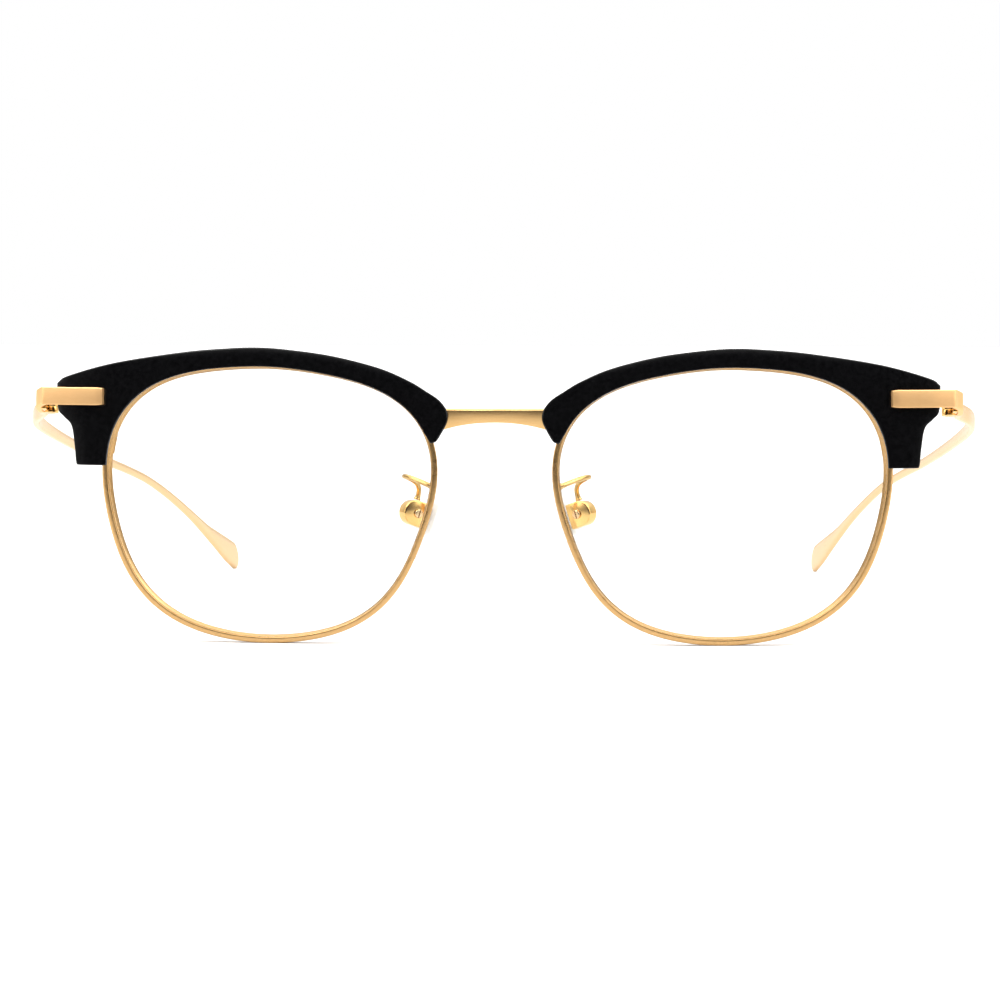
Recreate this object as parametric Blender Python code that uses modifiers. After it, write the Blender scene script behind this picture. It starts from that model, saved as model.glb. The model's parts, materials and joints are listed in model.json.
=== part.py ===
"""Half rim (browline) eyeglasses, lens 50 mm, bridge 18 mm, temple 140 mm.

Units are metres in the scene; every dimension below is in millimetres.
+Z is up, the front of the frame faces -Y, the temples run towards +Y.
The glasses stand on their rim bottoms and temple tips at z = 0, and the
origin is the bottom centre of the whole object.
Suffix _r is the wearer's right (the -X side), _l the wearer's left.
"""
import math

import bmesh
import bpy
import numpy as np
from mathutils import Matrix, Vector

MM = 0.001

# ---------------------------------------------------------------- dimensions
FACE_R = 125.0            # radius of the front surface both lenses lie on
WRAP = math.radians(4.0)  # face form: each eye turned outward by this much
EYE_X = 34.83             # eye centre from the middle of the bridge
EYE_Z = 21.55             # eye centre above the table
Y_SHIFT = -71.04          # lens apex plane, so that the bounding box is centred

# lens shape: mean radius and (cos, sin) pairs of the first six harmonics,
# polar angle 0 at the nose, 90 deg at the brow
EYE_R0 = 23.49
EYE_HARM = ((-0.22, 0.67), (2.16, -0.11), (0.11, 0.95),
            (-0.57, 0.13), (0.06, 0.28), (-0.20, 0.07))
EYE_N = 56                # stations round a rim

RIM_HALF = 0.45           # half the radial width of the eyewire
RIM_DEPTH = 1.0           # half its depth, front to back
GROOVE_APEX = -0.12       # radial place of the bottom of the lens groove
GROOVE_HALF = 0.62        # half the width of the groove mouth
FIT = 0.05                # fitting gap between joined pieces

LENS_HALF = 0.80          # half the lens thickness

BROW_FRONT = 2.2          # front of the brow piece above the front surface
BROW_BACK = -0.8          # its back
BROW_LIP = 1.05           # underside of the lip that covers the eyewire
BROW_ROUND = 0.35

PLATE_T = 0.85            # gold strap thickness
PLATE_H = 2.72            # and height
PLATE_Z = 37.65           # height of its middle on the front
STRAP_IN = 60.35          # inner end of the front plate from the middle
STRAP_BEND = 70.0         # outer corner of the strap

SLOPE = math.radians(10.8)             # temples fall by this angle
HINGE = (69.7, 11.4, 36.2)             # hinge axis point, x, y, z
BARREL_R = 1.10
BARREL_H = 2.9                         # all three knuckles together
KNUCKLE_H = 1.0                        # middle knuckle
HINGE_PIN_R = 0.50
ARM_IN = 1.20                          # inner face of strap and temple from the axis
TEMPLE_T = 0.90

PAD_SCREW = (12.9, 12.0, 19.3)         # pad pivot
PAD_SPLAY = math.radians(30.0)
PAD_FRONTAL = math.radians(20.0)
PAD_L, PAD_W, PAD_T = 13.6, 7.8, 2.3   # silicone pad

# ---------------------------------------------------------------- scene
for ob in list(bpy.data.objects):
    bpy.data.objects.remove(ob, do_unlink=True)
for blocks in (bpy.data.meshes, bpy.data.curves, bpy.data.materials):
    for b in list(blocks):
        blocks.remove(b)

scene = bpy.context.scene


def collection(name):
    c = bpy.data.collections.get(name) or bpy.data.collections.new(name)
    if c.name not in scene.collection.children:
        scene.collection.children.link(c)
    return c


PARTS = collection("half_rim_eyeglasses")
TOOLS = collection("cutters")


def material(name, rgb, rough, metal=0.0, transmission=0.0, ior=1.5):
    m = bpy.data.materials.new(name)
    m.use_nodes = True
    b = m.node_tree.nodes["Principled BSDF"]
    b.inputs["Base Color"].default_value = (*rgb, 1.0)
    b.inputs["Roughness"].default_value = rough
    b.inputs["Metallic"].default_value = metal
    b.inputs["Transmission Weight"].default_value = transmission
    b.inputs["IOR"].default_value = ior
    m.diffuse_color = (*rgb, 1.0)
    return m


GOLD = material("gold_polished", (0.90, 0.62, 0.26), 0.18, 1.0)
GOLD_BRUSHED = material("gold_brushed", (0.82, 0.56, 0.27), 0.36, 1.0)
GOLD_WIRE = material("gold_eyewire", (0.72, 0.50, 0.24), 0.28, 1.0)
ACETATE = material("acetate_black", (0.008, 0.008, 0.010), 0.12)
LENS = material("lens_clear", (0.97, 0.98, 0.98), 0.02, 0.0, 1.0, 1.50)
SILICONE = material("silicone_clear", (0.95, 0.95, 0.94), 0.30, 0.0, 0.9, 1.41)
STEEL = material("screw_gold", (0.80, 0.60, 0.32), 0.30, 1.0)
CORE = material("pad_core", (0.86, 0.84, 0.80), 0.35, 0.6)


# ---------------------------------------------------------------- helpers
def drop(ob):
    bpy.data.objects.remove(ob, do_unlink=True)


def face_out(bm):
    """Turns every face of a closed mesh outward."""
    bmesh.ops.recalc_face_normals(bm, faces=bm.faces)
    if bm.calc_volume(signed=True) < 0.0:
        bmesh.ops.reverse_faces(bm, faces=bm.faces)


def evaluated(ob):
    """The object's mesh as the viewport shows it, in world space and welded."""
    dg = bpy.context.evaluated_depsgraph_get()
    me = bpy.data.meshes.new_from_object(ob.evaluated_get(dg), depsgraph=dg)
    me.transform(ob.matrix_world)
    bm = bmesh.new()
    bm.from_mesh(me)
    bmesh.ops.remove_doubles(bm, verts=bm.verts, dist=2e-6)
    bmesh.ops.dissolve_degenerate(bm, dist=1e-6, edges=bm.edges)
    face_out(bm)
    bm.to_mesh(me)
    bm.free()
    return me


def bake(ob):
    """Applies every modifier, and turns a curve into a mesh object."""
    me = evaluated(ob)
    name = ob.name
    colls = list(ob.users_collection)
    drop(ob)
    new = bpy.data.objects.new(name, me)
    for c in colls:
        c.objects.link(new)
    return new


def from_bmesh(name, bm, coll=TOOLS):
    face_out(bm)
    me = bpy.data.meshes.new(name)
    bm.to_mesh(me)
    bm.free()
    ob = bpy.data.objects.new(name, me)
    coll.objects.link(ob)
    return ob


def as_tool(ob):
    ob.hide_render = True
    ob.display_type = 'WIRE'
    return ob


def box(name, lo, hi):
    """A box between two corners, in millimetres."""
    bm = bmesh.new()
    bmesh.ops.create_cube(bm, size=1.0)
    lo, hi = Vector(lo), Vector(hi)
    for v in bm.verts:
        v.co = Vector([(lo[i] + hi[i]) / 2 + v.co[i] * (hi[i] - lo[i]) for i in range(3)]) * MM
    return from_bmesh(name, bm)


def rod(name, a, b, radius, steps=16):
    """A cylinder from a to b, in millimetres."""
    a, b = Vector(a), Vector(b)
    bm = bmesh.new()
    bmesh.ops.create_cone(bm, cap_ends=True, segments=steps, radius1=radius * MM,
                          radius2=radius * MM, depth=(b - a).length * MM)
    rot = (b - a).to_track_quat('Z', 'Y').to_matrix().to_4x4()
    bm.transform(Matrix.Translation((a + b) / 2 * MM) @ rot)
    return from_bmesh(name, bm)


def turned(name, a, axis, profile, steps=16):
    """A turned piece: (radius, height) pairs from the bottom axis point to the
    top axis point, standing at a along axis."""
    me = bpy.data.meshes.new(name)
    me.from_pydata([(r * MM, 0.0, z * MM) for r, z in profile], [(i, i + 1) for i in range(len(profile) - 1)], [])
    ob = bpy.data.objects.new(name, me)
    TOOLS.objects.link(ob)
    sc = ob.modifiers.new("turn", 'SCREW')
    sc.axis = 'Z'
    sc.steps = sc.render_steps = steps
    sc.use_merge_vertices = True
    sc.merge_threshold = 1e-6
    sc.use_normal_calculate = True
    rot = Vector(axis).to_track_quat('Z', 'Y').to_matrix().to_4x4()
    ob.matrix_world = Matrix.Translation(Vector(a) * MM) @ rot
    bpy.context.view_layer.update()
    return bake(ob)


def outline_plate(name, pts, lo, hi):
    """A flat outline in XY filled and extruded between two heights."""
    cu = bpy.data.curves.new(name, 'CURVE')
    cu.dimensions = '2D'
    cu.fill_mode = 'BOTH'
    cu.extrude = (hi - lo) / 2 * MM
    sp = cu.splines.new('POLY')
    sp.points.add(len(pts) - 1)
    sp.use_cyclic_u = True
    for p, (x, y) in zip(sp.points, pts):
        p.co = (x * MM, y * MM, 0.0, 1.0)
    ob = bpy.data.objects.new(name, cu)
    TOOLS.objects.link(ob)
    ob.location.z = (lo + hi) / 2 * MM
    bpy.context.view_layer.update()
    return bake(ob)


def wire(name, pts, radius, res=2):
    """A round wire through points, ends capped."""
    cu = bpy.data.curves.new(name, 'CURVE')
    cu.dimensions = '3D'
    cu.bevel_depth = radius * MM
    cu.bevel_resolution = res
    cu.use_fill_caps = True
    sp = cu.splines.new('POLY')
    sp.points.add(len(pts) - 1)
    for p, q in zip(sp.points, pts):
        p.co = (q[0] * MM, q[1] * MM, q[2] * MM, 1.0)
    ob = bpy.data.objects.new(name, cu)
    TOOLS.objects.link(ob)
    return bake(ob)


def loft(name, rings, cap_start=True, cap_end=True):
    """A closed skin over unlike sections; each ring is a list of points in mm."""
    bm = bmesh.new()
    rows = [[bm.verts.new(Vector(p) * MM) for p in ring] for ring in rings]
    n = len(rows[0])
    for a, b in zip(rows, rows[1:]):
        for i in range(n):
            j = (i + 1) % n
            bm.faces.new((a[i], a[j], b[j], b[i]))
    if cap_start:
        bm.faces.new(list(reversed(rows[0])))
    if cap_end:
        bm.faces.new(rows[-1])
    return from_bmesh(name, bm)


def boolean(ob, other, op='DIFFERENCE', keep=False):
    as_tool(other)
    m = ob.modifiers.new("cut", 'BOOLEAN')
    m.operation = op
    m.solver = 'EXACT'
    m.object = other
    bpy.context.view_layer.update()
    new = bake(ob)
    if not keep:
        drop(other)
    return new


def bevelled(ob, width, segments=2, angle=35.0):
    m = ob.modifiers.new("edges", 'BEVEL')
    m.width = width * MM
    m.segments = segments
    m.limit_method = 'ANGLE'
    m.angle_limit = math.radians(angle)
    m.use_clamp_overlap = True
    return bake(ob)


def warp(ob, fn):
    """Moves every vertex by a function of its place in millimetres."""
    for v in ob.data.vertices:
        v.co = Vector(fn(v.co.x / MM, v.co.y / MM, v.co.z / MM)) * MM
    return ob


def finish(ob, name, mat, sharp=35.0, origin=None, side=-1):
    """Names the piece, shades it, and puts it in the parts collection."""
    me = ob.data
    org = Vector(origin if origin else (0.0, 0.0, 0.0))
    me.transform(Matrix.Translation(-org * MM))
    for c in list(ob.users_collection):
        c.objects.unlink(ob)
    PARTS.objects.link(ob)
    ob.name = name
    me.name = name
    me.materials.clear()
    me.materials.append(mat)
    for p in me.polygons:
        p.material_index = 0
    me.shade_smooth()
    me.set_sharp_from_angle(angle=math.radians(sharp))
    ob.hide_render = False
    ob.display_type = 'TEXTURED'
    ob.location = (org + Vector((0.0, Y_SHIFT, 0.0))) * MM
    return ob


def mirrored(ob, name):
    """The same piece for the other side of the face."""
    me = ob.data.copy()
    me.name = name
    me.transform(Matrix.Scale(-1.0, 4, Vector((1.0, 0.0, 0.0))))
    me.flip_normals()
    new = bpy.data.objects.new(name, me)
    PARTS.objects.link(new)
    new.location = (-ob.location.x, ob.location.y, ob.location.z)
    return new


def pair(ob, base, mat, **kw):
    """Finishes the right-hand piece and makes its left-hand twin."""
    r = finish(ob, base + "_r", mat, **kw)
    return r, mirrored(r, base + "_l")


def spline(points, per_span):
    """Catmull-Rom curve through the control rows, per_span steps each."""
    p = np.array(points, float)
    p = np.vstack([2 * p[0] - p[1], p, 2 * p[-1] - p[-2]])
    out = []
    for i in range(1, len(p) - 2):
        for k in range(per_span):
            t = k / per_span
            a, b, c, d = p[i - 1], p[i], p[i + 1], p[i + 2]
            out.append(0.5 * (2 * b + (c - a) * t + (2 * a - 5 * b + 4 * c - d) * t * t
                              + (3 * b - a - 3 * c + d) * t ** 3))
    out.append(p[-2])
    return np.array(out)


# ---------------------------------------------------------------- eye space
# u runs from the temple to the nose, v up, w out of the front surface.
def eye_point(theta, offset=0.0):
    """The eyewire's centre line, moved outward by offset."""
    def at(t):
        r = EYE_R0 + sum(a * math.cos((k + 1) * t) + b * math.sin((k + 1) * t)
                         for k, (a, b) in enumerate(EYE_HARM))
        return np.array((r * math.cos(t), r * math.sin(t)))
    d = at(theta + 1e-4) - at(theta - 1e-4)
    n = np.array((d[1], -d[0])) / np.hypot(*d)
    return at(theta) + n * offset


def even_angles(count):
    """Polar angles that space the eyewire's stations evenly along it."""
    t = np.linspace(0.0, 2 * math.pi, 1441)
    p = np.array([eye_point(a) for a in t])
    s = np.concatenate([[0.0], np.cumsum(np.hypot(*np.diff(p, axis=0).T))])
    return [float(a) for a in np.interp(np.arange(count) / count * s[-1], s, t)]


ANGLES = even_angles(EYE_N)


def face_form(u, v, w):
    """From the wearer's right eye space to the glasses' own frame."""
    rr = math.sqrt(FACE_R ** 2 - u * u - v * v)
    a = u + w * u / FACE_R
    b = v + w * v / FACE_R
    c = rr - FACE_R + w * rr / FACE_R
    return (-EYE_X + a * math.cos(WRAP) - c * math.sin(WRAP),
            -a * math.sin(WRAP) - c * math.cos(WRAP),
            EYE_Z + b)


# ---------------------------------------------------------------- eyewire
LOCK_U = (-28.3, -24.9)      # closing block, outside the rim behind the brow
LOCK_V = (7.3, 12.1)
LOCK_W = (-2.5, -0.3)
LOCK_SPLIT = 9.75
LOCK_SCREW = (-26.85, -1.45)  # u, w of its screw
LUG_ANGLE = math.radians(34.8)
LUG_OFFSET = 1.40


def make_rim():
    prof = bpy.data.curves.new("rim_profile", 'CURVE')
    prof.dimensions = '2D'
    sp = prof.splines.new('POLY')
    pts = [(RIM_HALF, -RIM_DEPTH), (RIM_HALF, RIM_DEPTH - 0.12), (RIM_HALF - 0.12, RIM_DEPTH),
           (-RIM_HALF + 0.12, RIM_DEPTH), (-RIM_HALF, RIM_DEPTH - 0.12), (-RIM_HALF, GROOVE_HALF),
           (GROOVE_APEX, 0.0), (-RIM_HALF, -GROOVE_HALF), (-RIM_HALF, -RIM_DEPTH)]
    sp.points.add(len(pts) - 1)
    sp.use_cyclic_u = True
    for p, (x, y) in zip(sp.points, pts):
        p.co = (x * MM, y * MM, 0.0, 1.0)
    prof_ob = bpy.data.objects.new("rim_profile", prof)
    TOOLS.objects.link(prof_ob)
    cu = bpy.data.curves.new("rim", 'CURVE')
    cu.dimensions = '3D'
    cu.twist_mode = 'Z_UP'
    cu.bevel_mode = 'OBJECT'
    cu.bevel_object = prof_ob
    sp = cu.splines.new('POLY')
    sp.points.add(EYE_N - 1)
    sp.use_cyclic_u = True
    for p, t in zip(sp.points, ANGLES):
        x, y = eye_point(t)
        p.co = (x * MM, y * MM, 0.0, 1.0)
    ob = bpy.data.objects.new("rim", cu)
    TOOLS.objects.link(ob)
    bpy.context.view_layer.update()
    ob = bake(ob)
    drop(prof_ob)
    # closing block and the lug for the brow screw
    block = box("block", (LOCK_U[0], LOCK_V[0], LOCK_W[0]), (LOCK_U[1] + 0.15, LOCK_V[1], LOCK_W[1]))
    # the block's inner side follows the rim: trim it back to the eyewire
    plug = outline_plate("plug", [eye_point(t, 0.12) for t in ANGLES], -3.0, 3.0)
    block = boolean(block, plug)
    ob = boolean(ob, block, 'UNION')
    x, y = eye_point(LUG_ANGLE, LUG_OFFSET)
    lug = rod("lug", (x, y, -1.6), (x, y, -0.86), 1.05, 16)
    a, b = eye_point(LUG_ANGLE, 0.0), eye_point(LUG_ANGLE, LUG_OFFSET)
    d = (b - a) / np.hypot(*(b - a))
    n = np.array((-d[1], d[0])) * 0.8
    neck = outline_plate("neck", [a + d * 0.05 - n, b - n, b + n, a + d * 0.05 + n], -1.55, -0.90)
    lug = boolean(lug, neck, 'UNION')
    ob = boolean(ob, lug, 'UNION')
    ob = boolean(ob, rod("hole", (x, y, -2.0), (x, y, -0.3), 0.54, 12))
    # the eyewire is cut through at the block, and the screw runs up through it
    ob = boolean(ob, box("split", (-30.0, LOCK_SPLIT - 0.07, -3.5), (-23.0, LOCK_SPLIT + 0.07, 1.5)))
    ob = boolean(ob, rod("bore", (LOCK_SCREW[0], LOCK_V[0] - 0.5, LOCK_SCREW[1]),
                         (LOCK_SCREW[0], LOCK_V[1] - 0.5, LOCK_SCREW[1]), 0.44, 12))
    return warp(ob, face_form)


pair(make_rim(), "rim", GOLD_WIRE)

# closing screw: head under the block, slot in the head
ob = turned("rim_screw", (LOCK_SCREW[0], LOCK_V[0] - 0.45, LOCK_SCREW[1]), (0, 1, 0),
            [(0.0, 0.0), (0.62, 0.0), (0.70, 0.08), (0.70, 0.41), (0.38, 0.41), (0.38, 4.30), (0.0, 4.30)], 12)
ob = boolean(ob, box("slot", (LOCK_SCREW[0] - 1.0, LOCK_V[0] - 1.0, LOCK_SCREW[1] - 0.1),
                     (LOCK_SCREW[0] + 1.0, LOCK_V[0] - 0.25, LOCK_SCREW[1] + 0.1)))
pair(warp(ob, face_form), "rim_screw", STEEL)


# ---------------------------------------------------------------- lens
def make_lens():
    rows = []
    edge = [(-0.50, LENS_HALF), (-0.50, GROOVE_HALF), (GROOVE_APEX - FIT, 0.0),
            (-0.50, -GROOVE_HALF), (-0.50, -LENS_HALF)]
    for off, w in edge:
        rows.append([(*eye_point(t, off), w) for t in ANGLES])
    inner = [(0.55 * eye_point(t, -0.5)[0], 0.55 * eye_point(t, -0.5)[1]) for t in ANGLES]
    rows.insert(0, [(*p, LENS_HALF) for p in inner])
    rows.append([(*p, -LENS_HALF) for p in inner])
    bm = bmesh.new()
    vs = [[bm.verts.new(Vector(face_form(*p)) * MM) for p in row] for row in rows]
    n = len(ANGLES)
    for a, b in zip(vs, vs[1:]):
        for i in range(n):
            j = (i + 1) % n
            bm.faces.new((a[i], b[i], b[j], a[j]))
    for row, w, flip in ((vs[0], LENS_HALF, False), (vs[-1], -LENS_HALF, True)):
        c = bm.verts.new(Vector(face_form(0.0, 0.0, w)) * MM)
        for i in range(n):
            f = (row[i], row[(i + 1) % n], c)
            bm.faces.new(tuple(reversed(f)) if flip else f)
    return from_bmesh("lens", bm)


pair(make_lens(), "lens", LENS, sharp=30.0)

# ---------------------------------------------------------------- brow
# ribs from the nose tip over the top to the lower temple corner:
# polar angle of the inner edge, then the outer edge's u and v
RIBS = [(20.0, 25.45, 9.25), (22.5, 25.95, 9.95), (27.0, 26.9, 11.7), (29.5, 27.2, 12.65),
        (32.5, 27.15, 13.6), (35.5, 26.75, 14.5), (39.0, 25.75, 15.65), (43.0, 24.05, 16.8),
        (48.0, 21.4, 18.4), (55.0, 16.85, 20.35), (66.0, 9.95, 22.1), (79.0, 3.15, 23.05),
        (91.0, -1.5, 23.35), (103.0, -6.1, 23.2), (118.0, -12.95, 22.6), (137.0, -23.6, 20.95),
        (146.5, -30.9, 19.0), (149.2, -32.7, 18.0), (150.3, -32.95, 17.2), (155.0, -32.7, 13.9),
        (157.2, -31.7, 12.7), (160.0, -30.45, 11.4), (164.0, -29.9, 8.5), (167.3, -29.6, 5.8),
        (167.9, -29.15, 5.4)]
# offset of the lip's inner edge from the eyewire's centre line, by angle
LIP = ((20.0, -0.20), (24.0, -0.50), (40.0, -0.60), (70.0, -0.55), (95.0, -0.52),
       (115.0, -0.50), (130.0, -0.62), (145.0, -0.72), (168.0, -0.65))


def ramp(table, x):
    return float(np.interp(x, [a for a, _ in table], [b for _, b in table]))


def brow_section(theta_deg, ou, ov):
    t = math.radians(theta_deg)
    inner = eye_point(t, ramp(LIP, theta_deg))
    outer = np.array((ou, ov))
    width = float(np.hypot(*(outer - inner)))
    d = (outer - inner) / width
    back = ramp(((35.8, BROW_LIP - FIT), (39.2, BROW_BACK)), theta_deg)
    step = eye_point(t, RIM_HALF + 0.12)
    if np.dot(step - inner, d) > 0.7 * width or theta_deg < 30.0:
        step = inner + d * 0.7 * width
    r = min(BROW_ROUND, 0.22 * width)
    rb = min(0.25, 0.12 * width)
    lip = BROW_LIP
    q = [(*inner, lip), (*inner, BROW_FRONT - r), (*(inner + d * r), BROW_FRONT),
         (*(outer - d * r), BROW_FRONT), (*outer, BROW_FRONT - r), (*outer, back + rb),
         (*(outer - d * rb), back), (*step, back), (*step, lip)]
    return q


def make_brow():
    # the outer edge is a smooth curve through the ribs, the angles run evenly between them
    outer = spline([rib[1:] for rib in RIBS], 2)
    angles = np.interp(np.arange(len(outer)) / 2, range(len(RIBS)), [rib[0] for rib in RIBS])
    rings = [brow_section(t, u, v) for t, (u, v) in zip(angles, outer)]
    ob = loft("brow", rings)
    # pocket for the closing block, holes for the screw and the rivets
    ob = boolean(ob, box("pocket", (LOCK_U[0] - 0.15, LOCK_V[0] - 0.8, -3.0),
                         (LOCK_U[1] + 0.6, LOCK_V[1] + 0.2, LOCK_W[1] + 0.15)))
    x, y = eye_point(LUG_ANGLE, LUG_OFFSET)
    ob = boolean(ob, rod("hole", (x, y, -1.5), (x, y, 1.2), 0.54, 12))
    for u in RIVETS:
        ob = boolean(ob, rod("hole", (u, RIVET_V, -1.5), (u, RIVET_V, 3.0), 0.49, 12))
    return warp(ob, face_form)


RIVETS = (-27.6, -30.9)
RIVET_V = 15.85
pair(make_brow(), "brow", ACETATE, sharp=40.0)

# brow screw, from behind through the lug
x, y = eye_point(LUG_ANGLE, LUG_OFFSET)
ob = turned("brow_screw", (x, y, -2.08), (0, 0, 1),
            [(0.0, 0.0), (0.68, 0.0), (0.80, 0.12), (0.80, 0.43), (0.49, 0.43), (0.49, 3.10), (0.0, 3.10)], 12)
ob = boolean(ob, box("slot", (x - 1.0, y - 0.1, -2.6), (x + 1.0, y + 0.1, -1.88)))
pair(warp(ob, face_form), "brow_screw", STEEL)

# rivets that hold the strap through the brow, head at the back
for u, tag in zip(RIVETS, ("inner", "outer")):
    ob = turned("rivet", (u, RIVET_V, -1.30), (0, 0, 1),
                [(0.0, 0.0), (0.50, 0.0), (0.78, 0.15), (0.85, 0.42), (0.44, 0.42), (0.44, 3.50), (0.0, 3.50)], 12)
    pair(warp(ob, face_form), "strap_rivet_" + tag, STEEL)


# ---------------------------------------------------------------- bridge
def make_bridge():
    rings = []
    for i in range(25):
        x = -12.6 + 25.2 * i / 24
        ax = abs(x)
        front = 0.80 - (0.62 * (0.5 + 0.5 * math.cos(math.pi * ax / 6.8)) if ax < 6.8 else 0.0)
        back = front + 1.10
        bottom = 33.9 - 0.95 * (ax / 7.3) ** 2.1
        top = 36.0 - 0.55 * min(max(ax - 7.6, 0.0) / 0.8, 1.0)     # lower where it runs behind the brow
        rings.append([(x, front, bottom + 0.15), (x, front + 0.15, bottom), (x, back - 0.1, bottom),
                      (x, back, bottom + 0.1), (x, back, top - 0.1), (x, back - 0.1, top),
                      (x, front + 0.28, top), (x, front, top - 0.22)])
    ob = loft("bridge", rings)
    for s in (1, -1):
        plug = outline_plate("plug", [eye_point(t, RIM_HALF + FIT) for t in ANGLES], -3.5, 3.5)
        warp(plug, face_form)
        if s < 0:
            plug.data.transform(Matrix.Scale(-1.0, 4, Vector((1.0, 0.0, 0.0))))
            plug.data.flip_normals()
        ob = boolean(ob, plug)
    return ob


finish(make_bridge(), "bridge", GOLD_BRUSHED, sharp=30.0)

# ---------------------------------------------------------------- strap (endpiece)
hx, hy, hz = HINGE
CO, SI = math.cos(SLOPE), math.sin(SLOPE)


def hinge_frame(x, y, z):
    """From the right hinge's own frame (x outward, y along the temple, z along
    the axis) to the glasses' frame."""
    return (-(hx + x), hy + y * CO + z * SI, hz - y * SI + z * CO)


def strap_path():
    """Plan of the strap's outer face on the right side: (x, y)."""
    pts = []
    u0 = -(STRAP_IN - EYE_X) / math.cos(WRAP)
    u1 = -(STRAP_BEND - EYE_X) / math.cos(WRAP)
    for k in range(5):
        u = u0 + (u1 - u0) * k / 4
        x, y, _ = face_form(u / 1.02, 15.8, BROW_FRONT + FIT + PLATE_T)
        pts.append((x, y))
    cx, cy = pts[-1]
    ex = -(hx + ARM_IN + TEMPLE_T)
    pts += [(cx - 0.35, cy + 0.22), (cx - 0.62, cy + 0.95), (ex + 0.25, cy + 2.6), (ex, cy + 4.2), (ex, hy - 0.04)]
    return pts


def offset_line(pts, d):
    out = []
    for i, p in enumerate(pts):
        a = np.array(pts[max(i - 1, 0)])
        b = np.array(pts[min(i + 1, len(pts) - 1)])
        t = (b - a) / np.hypot(*(b - a))
        out.append(tuple(np.array(p) + np.array((t[1], -t[0])) * d))
    return out


def subdivided(line, step):
    """The same line with extra points, none further apart than step."""
    out = [line[0]]
    for a, b in zip(line, line[1:]):
        n = max(1, math.ceil(math.dist(a, b) / step))
        out += [tuple(np.array(a) + (np.array(b) - np.array(a)) * k / n) for k in range(1, n + 1)]
    return out


def make_strap():
    outer = strap_path()
    inner = offset_line(outer, PLATE_T)
    inner[-1] = (outer[-1][0] + TEMPLE_T, outer[-1][1])
    inner[-2] = (outer[-2][0] + TEMPLE_T, outer[-2][1])
    inner[-3] = (outer[-1][0] + TEMPLE_T, outer[-3][1])
    # both faces get the same stations, so that the twist is spread evenly
    both = subdivided([(*a, *b) for a, b in zip(outer, inner)], 1.3)
    outer = [p[:2] for p in both]
    inner = [p[2:] for p in both]
    h, k = PLATE_H / 2, 0.16
    rings = []
    for i, (a, b) in enumerate(zip(outer, inner)):
        a, b = np.array(a), np.array(b)
        d = (b - a) / np.hypot(*(b - a)) * k
        z = h - (0.12 if i == 0 else 0.0)
        rings.append([(*a, -z + k), (*a, z - k), (*(a + d), z), (*(b - d), z),
                      (*b, z - k), (*b, -z + k), (*(b - d), -z), (*(a + d), -z)])
    ob = loft("strap", rings)
    y_bend = strap_path()[6][1]
    y_end = hy - 0.04

    def shape(x, y, z):
        # leans with the brow in front, falls with the temple behind the bend
        k = min(max((y - y_bend) / (y_end - 1.5 - y_bend), 0.0), 1.0)
        lean = 0.124 * z * (1.0 - k) + math.tan(SLOPE) * z * k
        drop_z = max(y - y_bend, 0.0) * math.tan(SLOPE)
        fall = (PLATE_Z - hz) / ((hy - y_bend) * math.tan(SLOPE))
        return x, y + lean, PLATE_Z + z - drop_z * fall

    ob = warp(ob, shape)
    bm = bmesh.new()
    bm.from_mesh(ob.data)
    bmesh.ops.triangulate(bm, faces=[f for f in bm.faces if len(f.verts) == 4])
    bm.to_mesh(ob.data)
    bm.free()
    return ob


pair(make_strap(), "endpiece_strap", GOLD_BRUSHED, sharp=25.0)


# ---------------------------------------------------------------- hinge
def hinge_leaf(front):
    """Leaf plate with its knuckles; the front leaf has two, the temple's one."""
    s = -1.0 if front else 1.0
    plate_h = PLATE_H / 2 - 0.15
    y0, y1 = (-2.9, -0.10) if front else (0.10, 3.3)
    leaf = box("leaf", (0.42, y0, -plate_h), (ARM_IN - FIT, y1, plate_h))
    half = BARREL_H / 2
    k = KNUCKLE_H / 2
    spans = [(-half, -k - 0.03), (k + 0.03, half)] if front else [(-k, k)]
    other = [(-k - 0.03, k + 0.03)] if front else [(-half - 0.2, -k + 0.0), (k, half + 0.2)]
    for a, b in other:
        leaf = boolean(leaf, rod("clear", (0, 0, a), (0, 0, b), BARREL_R + 0.10, 20))
    for a, b in spans:
        leaf = boolean(leaf, rod("knuckle", (0, 0, a), (0, 0, b), BARREL_R, 16), 'UNION')
    leaf = boolean(leaf, rod("bore", (0, 0, -3), (0, 0, 3), HINGE_PIN_R + 0.05, 16))
    warp(leaf, hinge_frame)
    leaf.data.flip_normals()
    return leaf


pair(hinge_leaf(True), "hinge_front", GOLD)
pair(hinge_leaf(False), "hinge_temple", GOLD, origin=(-hx, hy, hz))

ob = turned("hinge_screw", (0, 0, -BARREL_H / 2 - 0.10), (0, 0, 1),
            [(0.0, 0.0), (HINGE_PIN_R - 0.1, 0.0), (HINGE_PIN_R, 0.1), (HINGE_PIN_R, BARREL_H + 0.14),
             (0.92, BARREL_H + 0.14), (0.92, BARREL_H + 0.40), (0.72, BARREL_H + 0.58), (0.0, BARREL_H + 0.58)], 16)
top = BARREL_H / 2 + 0.48
ob = boolean(ob, box("slot", (-1.2, -0.11, top - 0.22), (1.2, 0.11, top + 0.5)))
warp(ob, hinge_frame)
ob.data.flip_normals()
pair(ob, "hinge_screw", STEEL)

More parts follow.
